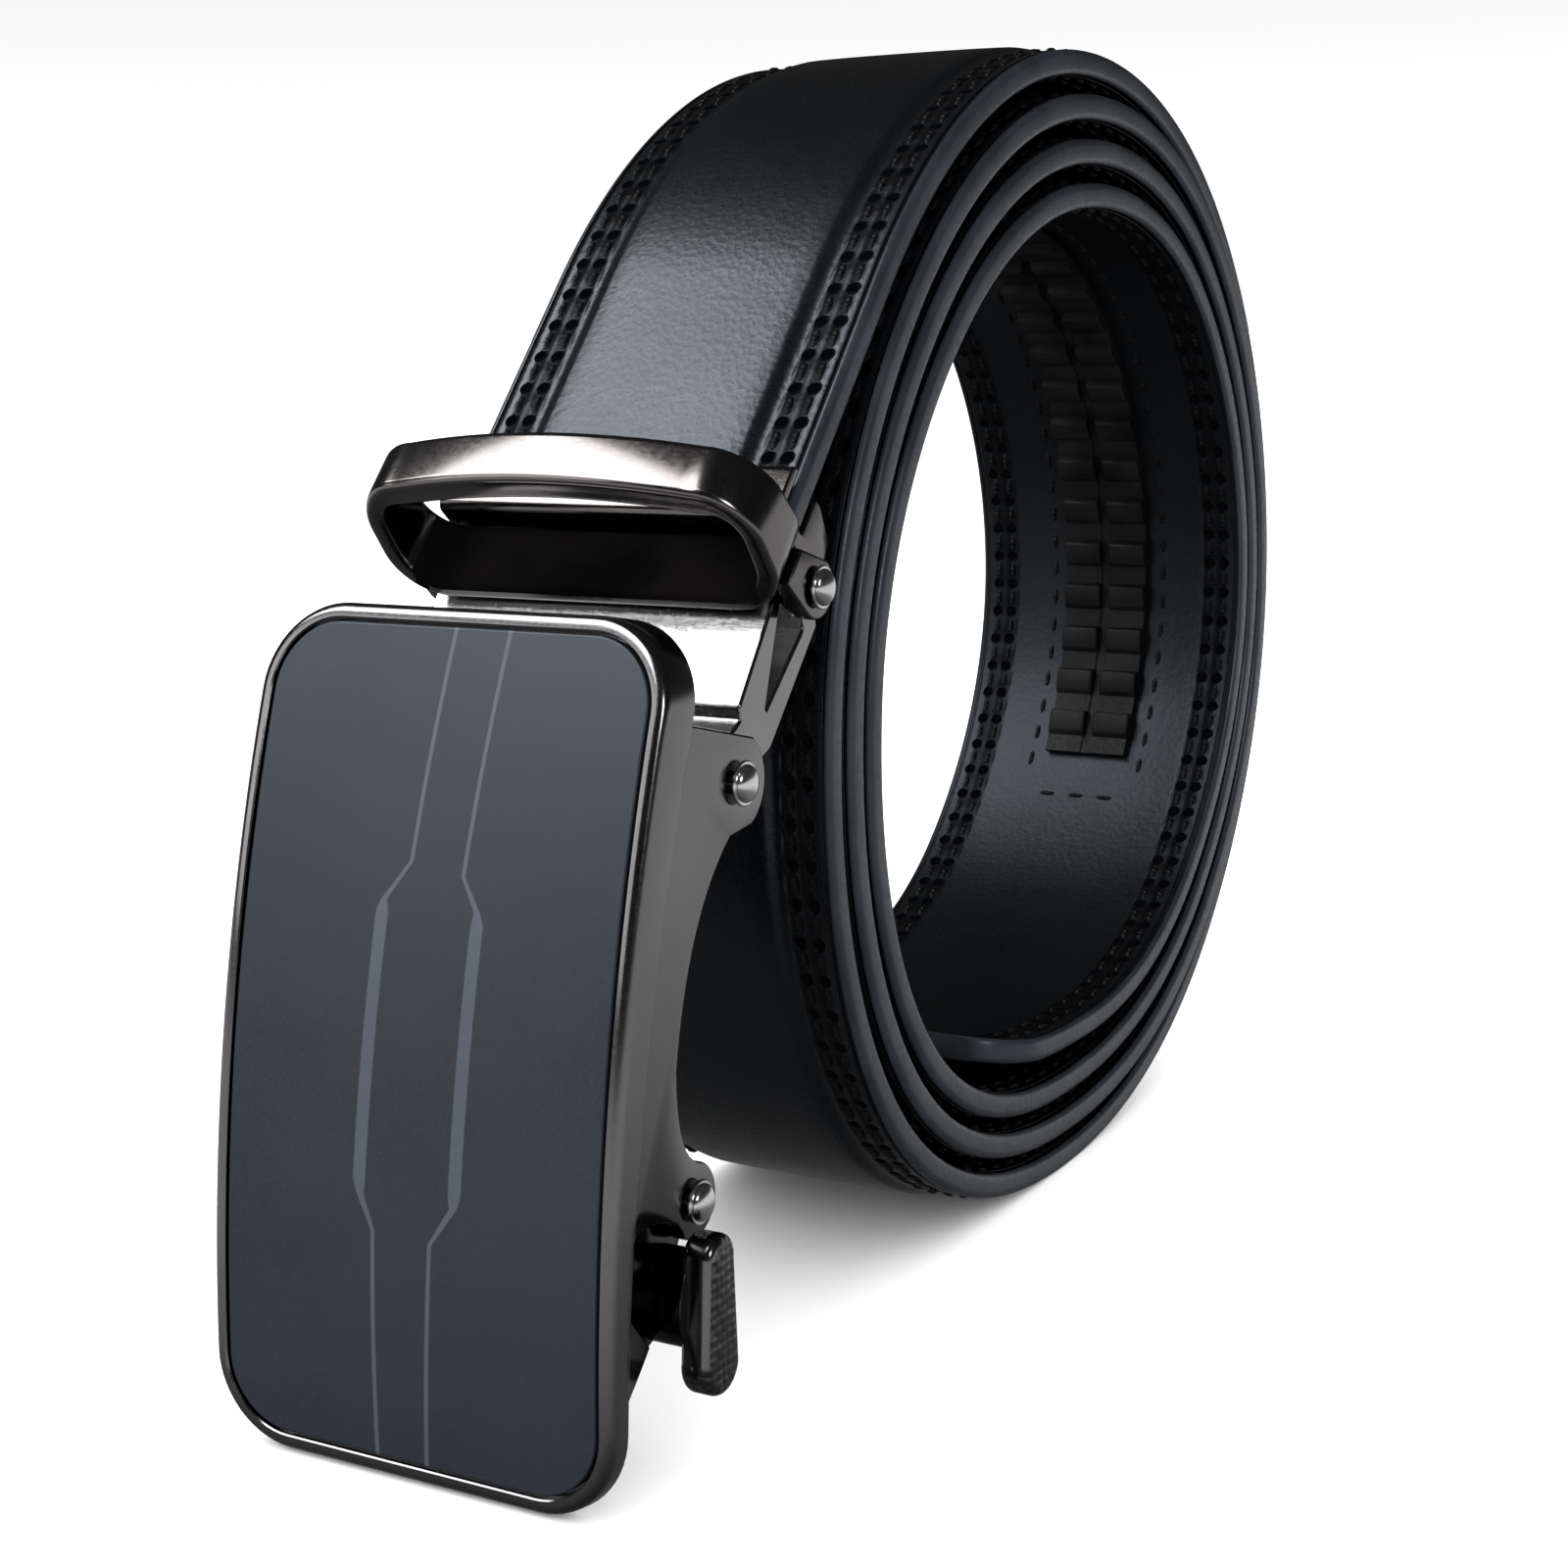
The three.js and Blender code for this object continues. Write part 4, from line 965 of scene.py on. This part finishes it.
def strips(build, ring, columns=12):
    """Fills a bent outline with rows of faces across it."""
    half = len(ring) // 2
    points, faces, places = [], [], []
    for i in range(half):
        right, left = ring[i], ring[2 * half - 1 - i]
        for c in range(columns + 1):
            t = c / columns
            points.append(tuple(lerp(right[k], left[k], t) for k in range(3)))
            places.append((lerp(right[2], left[2], t), lerp(right[0], left[0], t)))
    for i in range(half - 1):
        for c in range(columns):
            a = i * (columns + 1) + c
            faces.append([a, a + 1, a + columns + 2, a + columns + 1])
    build.add(points, faces, places)


def build_frame():
    build = Build()
    edge = RIM_EDGE
    rings = []
    for k in range(5):
        turn = math.pi / 2 * k / 4
        rings.append(bent_ring(RIM_LIP - RIM_LIP_ROUND * math.sin(turn),
                               lambda z, t=turn: RIM_LIP_ROUND * (1 - math.sin(t))))
    for k in range(7):
        turn = math.pi / 2 * k / 6
        inset = edge * (1 - math.sin(turn))
        rings.append(bent_ring(inset, lambda z, t=turn: edge * (1 - math.cos(t))))
    for k in range(5):
        turn = math.pi / 2 * k / 4
        rings.append(bent_ring(RIM_BACK_ROUND * (1 - math.cos(turn)),
                               lambda z, t=turn: rim_depth(z) - RIM_BACK_ROUND * (1 - math.sin(t))))
    pocket = bent_ring(RIM_LIP, lambda z: PANEL_FLOOR)
    back = bent_ring(RIM_BACK_LIP, lambda z: min(rim_depth(z), PLATE_THICKNESS))
    build.loft([pocket] + rings + [bent_ring(RIM_BACK_LIP, rim_depth), back], caps=False)
    strips(build, pocket)
    strips(build, back)
    wall = wall_outline()
    for low, high in ((-WALL_OUTER, -CHANNEL_HALF), (CHANNEL_HALF, WALL_OUTER)):
        prism(build, wall, low, high, 0.22)
    return build.object("buckle_body", [GUNMETAL], buckle_seat, "buckle", ["buckle_frame"])


def wall_outline():
    pin_y, pin_z, ear = LOWER_PIN_DEPTH, LOWER_PIN_HEIGHT, WALL_EAR_RADIUS
    pawl_y, pawl_z, pawl_ear = PAWL_PIN_DEPTH, PAWL_PIN_HEIGHT, PAWL_EAR_RADIUS

    def root(z):
        return face_depth(z) + PANEL_FLOOR + WALL_ROOT

    def rim_back(z):
        return face_depth(z) + rim_depth(z)

    low = HORN_HEIGHT * 0.7
    top = pin_z + ear * 1.08
    notch = pawl_z - pawl_ear * 0.35
    points = [(root(low), low), (rim_back(low) - RIM_EDGE, low)]
    over = HORN_HEIGHT * 1.5
    points += curve(points[-1], (HORN_DEPTH * 0.62, HORN_HEIGHT * 0.95), (HORN_DEPTH, HORN_HEIGHT * 1.2))
    points += curve(points[-1], (HORN_DEPTH * 0.7, HORN_HEIGHT * 1.3), (rim_back(over), over))
    points.append((rim_back(notch * 0.85), notch * 0.85))
    points += curve(points[-1], (rim_back(notch), notch), (pawl_y * 0.4, notch))
    points += curve(points[-1], (pawl_y * 0.75, notch), (pawl_y - pawl_ear * 0.5, pawl_z - pawl_ear * 0.87))
    points += arc(pawl_y, pawl_z, pawl_ear, -math.pi * 2 / 3, math.pi * 0.42, 28)[1:]
    points += curve(points[-1], (WAIST_DEPTH * 1.2, pawl_z + pawl_ear),
                    (WAIST_DEPTH, pawl_z + pawl_ear * 3.4))
    points += curve(points[-1], (WAIST_DEPTH, lerp(pawl_z, pin_z, 0.68)),
                    (pin_y * 0.93, pin_z - ear * 1.05), 16)
    points += arc(pin_y, pin_z, ear, -math.pi * 0.3, math.pi * 0.36, 24)
    points += [(rim_back(top) - RIM_EDGE, top), (root(top), top)]
    points += [(root(lerp(top, low, k / 24)), lerp(top, low, k / 24)) for k in range(1, 24)]
    return points


def build_panel():
    build = Build()
    inset = RIM_LIP + CLEAR
    front = bent_ring(inset + PANEL_EDGE, lambda z: PANEL_SINK)
    edge_rings = [front]
    for k in range(1, 5):
        turn = math.pi / 2 * k / 4
        edge_rings.append(bent_ring(inset + PANEL_EDGE * (1 - math.sin(turn)),
                                    lambda z, t=turn: PANEL_SINK + PANEL_EDGE * (1 - math.cos(t))))
    edge_rings.append(bent_ring(inset, lambda z: PANEL_SINK + PANEL_THICKNESS))
    marks = [[(p[2], p[0]) for p in ring] for ring in edge_rings]
    build.loft(edge_rings, marks, caps=False)
    strips(build, front, columns=20)
    strips(build, edge_rings[-1])
    return build.object("front_panel", [panel_material()], buckle_seat, "buckle", ["face_panel"])


def build_lever():
    build = Build()
    pin_y, pin_z = PAWL_PIN_DEPTH, PAWL_PIN_HEIGHT
    inner = WALL_OUTER + PADDLE_GAP
    foot_round, top_round = PADDLE_WIDTH / 2, PADDLE_WIDTH * 0.4
    paddle_foot = PADDLE_TOP - PADDLE_LENGTH
    outline = arc(PADDLE_DEPTH + PADDLE_LEAN, paddle_foot + foot_round, foot_round,
                  math.pi, 2 * math.pi, 24)
    outline += arc(PADDLE_DEPTH, PADDLE_TOP - top_round, top_round, 0.0, math.pi, 24)
    before = len(build.faces)
    prism(build, outline, inner, inner + PADDLE_THICKNESS, 0.75, 5)
    for i in range(before, len(build.faces)):
        middle = sum((Vector(build.points[k]) for k in build.faces[i]), Vector()) / len(build.faces[i])
        on_face = middle.y > PADDLE_DEPTH - top_round + 0.9
        build.slots[i] = 1 if on_face else 0
    outer = CHANNEL_HALF - CLEAR
    front, back = PADDLE_DEPTH - top_round, PADDLE_DEPTH + top_round

    def down(share):
        return PADDLE_TOP - PADDLE_LENGTH * share

    arm_from = len(build.faces)
    arm = [
        (front * 0.5, down(0.02)), (front * 0.42, down(0.45)), (front * 0.6, down(0.84)),
        (front, down(0.8)), (back, down(0.62)), (back * 1.02, down(0.2)),
        (pin_y + PAWL_BARREL, pin_z), (pin_y - PAWL_BARREL, pin_z), (front * 0.8, down(-0.05)),
    ]
    prism(build, round_off(arm, 1.2, 6), outer - ARM_THICKNESS, outer, 0.6, 5)
    neck = [(lerp(front, back, 0.5) + 2.4 * math.cos(t), down(0.42) + 4.0 * math.sin(t))
            for t in (2 * math.pi * k / 32 for k in range(32))]
    prism(build, neck, outer - ARM_THICKNESS * 0.5, inner + 0.6, 0.1)
    # Arm and neck take slot 2, a darker copy of the gunmetal: painted shade behind the wall's notch.
    build.slots[arm_from:] = [2] * (len(build.faces) - arm_from)
    prism(build, disc(pin_y, pin_z, PAWL_BARREL, 40), -PAWL_WIDTH / 2, outer, 0.2)
    prism(build, round_off([
        (pin_y, pin_z + PAWL_BARREL), (pin_y - PAWL_REACH, pin_z + PAWL_BARREL * 1.8),
        (pin_y - PAWL_REACH * 0.88, pin_z + PAWL_BARREL * 0.7), (pin_y, pin_z - PAWL_BARREL * 0.8)], 0.4),
        -PAWL_WIDTH / 2, PAWL_WIDTH / 2, 0.2)
    return build.object("side_lever", [GUNMETAL, PADDLE_METAL, LEVER_PAINTED_SHADE], buckle_seat, "lever",
                        ["release_lever"])


def build_pin(name, node, half_grip, place_seat, y, z, body):
    """A cross pin with a flange and a dome on each end."""
    foot_at = half_grip + CLEAR
    dome_at, dome = foot_at + PIN_FLANGE, PIN_HEAD_RADIUS * 0.84
    half = [(PIN_RADIUS, foot_at), (PIN_HEAD_RADIUS * 0.94, foot_at), (PIN_HEAD_RADIUS, foot_at + 0.1),
            (PIN_HEAD_RADIUS, foot_at + 0.22), (PIN_HEAD_RADIUS * 0.94, dome_at), (dome, dome_at)]
    for k in range(1, 13):
        turn = math.pi / 2 * k / 12
        half.append((max(0.02, dome * math.cos(turn)),
                     dome_at + (PIN_HEAD_HEIGHT - PIN_FLANGE) * math.sin(turn)))
    profile = [(r, -x) for r, x in reversed(half)] + half
    rings = [[(x, a, b) for a, b in disc(y, z, r, 40)] for r, x in profile]
    build = Build()
    build.loft(rings)
    return build.object(name, [PIN_METAL], place_seat, body, [node])


GUNMETAL = metal_material("gunmetal", (0.18, 0.175, 0.18), 0.17)
LOOP_METAL = metal_material("loop_gunmetal", (0.17, 0.16, 0.157), 0.17)
# Painted shade for the back plate of the loop.
LOOP_PAINTED_SHADE = painted_shade_material()
# Darker copy of the gunmetal for the lever arm: painted shade in the wall's notch.
LEVER_PAINTED_SHADE = metal_material("lever_arm_painted_shade", (0.045, 0.043, 0.043), 0.14)
LINK_METAL = metal_material("link_chrome", (0.25, 0.245, 0.25), 0.07)
# Lighter copy of the link metal for its faces across: painted reflection.
LINK_PAINTED_HIGHLIGHT = metal_material("link_front_painted_highlight", (0.75, 0.745, 0.75), 0.22, wave=0.02, scratch=0.008)
PIN_METAL = metal_material("pin_metal", (0.75, 0.74, 0.74), 0.18)
PADDLE_METAL = paddle_material("pebbled_metal", (0.13, 0.126, 0.128), 0.26, 0.75)

build_strap()
build_stitches()
build_track()
build_clamp()
build_loop()
build_link()
build_frame()
build_panel()
build_lever()
build_pin("upper_rivet", "upper_pin", LOOP_INNER + EAR_THICKNESS, clasp_seat, UPPER_PIN_Y, UPPER_PIN_Z,
          "strap_body")
build_pin("lower_rivet", "lower_pin", WALL_OUTER, buckle_seat, LOWER_PIN_DEPTH, LOWER_PIN_HEIGHT, "buckle")
build_pin("lever_rivet", "pawl_pin", WALL_OUTER, buckle_seat, PAWL_PIN_DEPTH, PAWL_PIN_HEIGHT, "buckle")


# Floor, lights and camera

def build_floor():
    m = Nodes("floor_white")
    fine = m.noise(object_place(m), 900.0, 2.0)
    m.set(color=m.mix(fine, color(0.9, 0.9, 0.9), color(0.92, 0.92, 0.92)), roughness=0.9, specular=0.1)
    mesh = bpy.data.meshes.new("floor")
    reach = 6.0
    mesh.from_pydata([(-reach, -reach, 0), (reach, -reach, 0), (reach, reach, 0), (-reach, reach, 0)], [],
                     [(0, 1, 2, 3)])
    mesh.materials.append(m.material)
    floor = bpy.data.objects.new("floor", mesh)
    floor.visible_glossy = False
    bpy.context.scene.collection.objects.link(floor)


def area_light(name, place, target, width, height, radiance, glossy=True, diffuse=True):
    """A soft box that reflections see, floors and other matt surfaces see, or both."""
    data = bpy.data.lights.new(name, "AREA")
    data.shape = "RECTANGLE"
    data.size, data.size_y = width, height
    data.energy = radiance * width * height * math.pi
    lamp = bpy.data.objects.new(name, data)
    lamp.location = place
    lamp.rotation_mode = "QUATERNION"
    lamp.rotation_quaternion = (Vector(target) - Vector(place)).to_track_quat("-Z", "Y")
    lamp.visible_glossy = glossy
    lamp.visible_diffuse = diffuse
    bpy.context.scene.collection.objects.link(lamp)
    return lamp


def studio_world():
    """A dim studio in reflections, even soft light on the floor, and a pale background."""
    world = bpy.data.worlds.new("studio")
    bpy.context.scene.world = world
    world.use_nodes = True
    tree = world.node_tree
    tree.nodes.clear()

    def ramp(factor, stops):
        made = tree.nodes.new("ShaderNodeValToRGB")
        for i, (spot, value) in enumerate(stops):
            stop = made.color_ramp.elements[i] if i < 2 else made.color_ramp.elements.new(spot)
            stop.position = spot
            stop.color = (value, value, value * 1.01, 1.0)
        tree.links.new(factor, made.inputs["Fac"])
        return made.outputs["Color"]

    def background(value):
        made = tree.nodes.new("ShaderNodeBackground")
        if isinstance(value, bpy.types.NodeSocket):
            tree.links.new(value, made.inputs["Color"])
        else:
            made.inputs["Color"].default_value = (value, value, value, 1.0)
        return made.outputs["Background"]

    def choose(factor, off, on):
        made = tree.nodes.new("ShaderNodeMixShader")
        tree.links.new(factor, made.inputs["Fac"])
        tree.links.new(off, made.inputs[1])
        tree.links.new(on, made.inputs[2])
        return made.outputs["Shader"]

    place = tree.nodes.new("ShaderNodeTexCoord")
    parts = tree.nodes.new("ShaderNodeSeparateXYZ")
    tree.links.new(place.outputs["Generated"], parts.inputs["Vector"])
    up = tree.nodes.new("ShaderNodeMath")
    up.operation = "MULTIPLY_ADD"
    up.inputs[1].default_value = 0.5
    up.inputs[2].default_value = 0.5
    tree.links.new(parts.outputs["Z"], up.inputs[0])
    rays = tree.nodes.new("ShaderNodeLightPath")
    studio = background(ramp(up.outputs[0], STUDIO_BY_HEIGHT))
    pale = background(ramp(up.outputs[0], PALE_BY_HEIGHT))
    even = choose(rays.outputs["Is Diffuse Ray"], studio, background(FLOOR_LIGHT))
    shown = choose(rays.outputs["Is Camera Ray"], even, pale)
    output = tree.nodes.new("ShaderNodeOutputWorld")
    tree.links.new(shown, output.inputs["Surface"])


def photo_camera():
    focal, turn, tip, roll = 2562.5, 0.51321, 0.18953, 0.018515
    place = Vector((0.119706, -0.230618, 0.093854))
    forward = Vector((-math.sin(turn) * math.cos(tip), math.cos(turn) * math.cos(tip), -math.sin(tip)))
    flat_right = Vector((math.cos(turn), math.sin(turn), 0.0))
    down = forward.cross(flat_right)
    right = flat_right * math.cos(roll) + down * math.sin(roll)
    up = -(down * math.cos(roll) - flat_right * math.sin(roll))
    data = bpy.data.cameras.new("photo_camera")
    data.sensor_width = 36.0
    data.lens = 36.0 * focal / 1600.0
    data.clip_start, data.clip_end = 0.01, 20.0
    camera = bpy.data.objects.new("photo_camera", data)
    camera.matrix_world = Matrix((
        (right.x, up.x, -forward.x, place.x),
        (right.y, up.y, -forward.y, place.y),
        (right.z, up.z, -forward.z, place.z),
        (0.0, 0.0, 0.0, 1.0),
    ))
    bpy.context.scene.collection.objects.link(camera)
    bpy.context.scene.camera = camera


STUDIO_BY_HEIGHT = [
    (0.0, 0.06), (0.3, 0.2), (0.38, 0.75), (0.49, 0.75), (0.53, 0.06), (0.66, 0.03), (1.0, 0.04),
]
PALE_BY_HEIGHT = [(0.0, 1.0), (0.5, 1.0), (0.54, 1.0), (0.59, 0.78), (1.0, 0.75)]
FLOOR_LIGHT = 2.2

photo_camera()
build_floor()
studio_world()
area_light("soft_key", (-0.45, -0.45, 0.85), (0.0, 0.0, 0.05), 0.9, 0.9, 1.0, glossy=False)
area_light("card_top", (-0.49, -0.5, 0.86), (0.0, 0.0, 0.06), 0.95, 0.62, 7.5, diffuse=False)
area_light("card_front", (-0.75, -0.95, 0.42), (0.0, 0.0, 0.05), 0.7, 0.5, 2.0, diffuse=False)
area_light("card_right", (0.75, -0.55, 0.5), (0.0, 0.0, 0.05), 0.26, 0.26, 10.0, diffuse=False)
bpy.context.scene.view_settings.view_transform = "Standard"
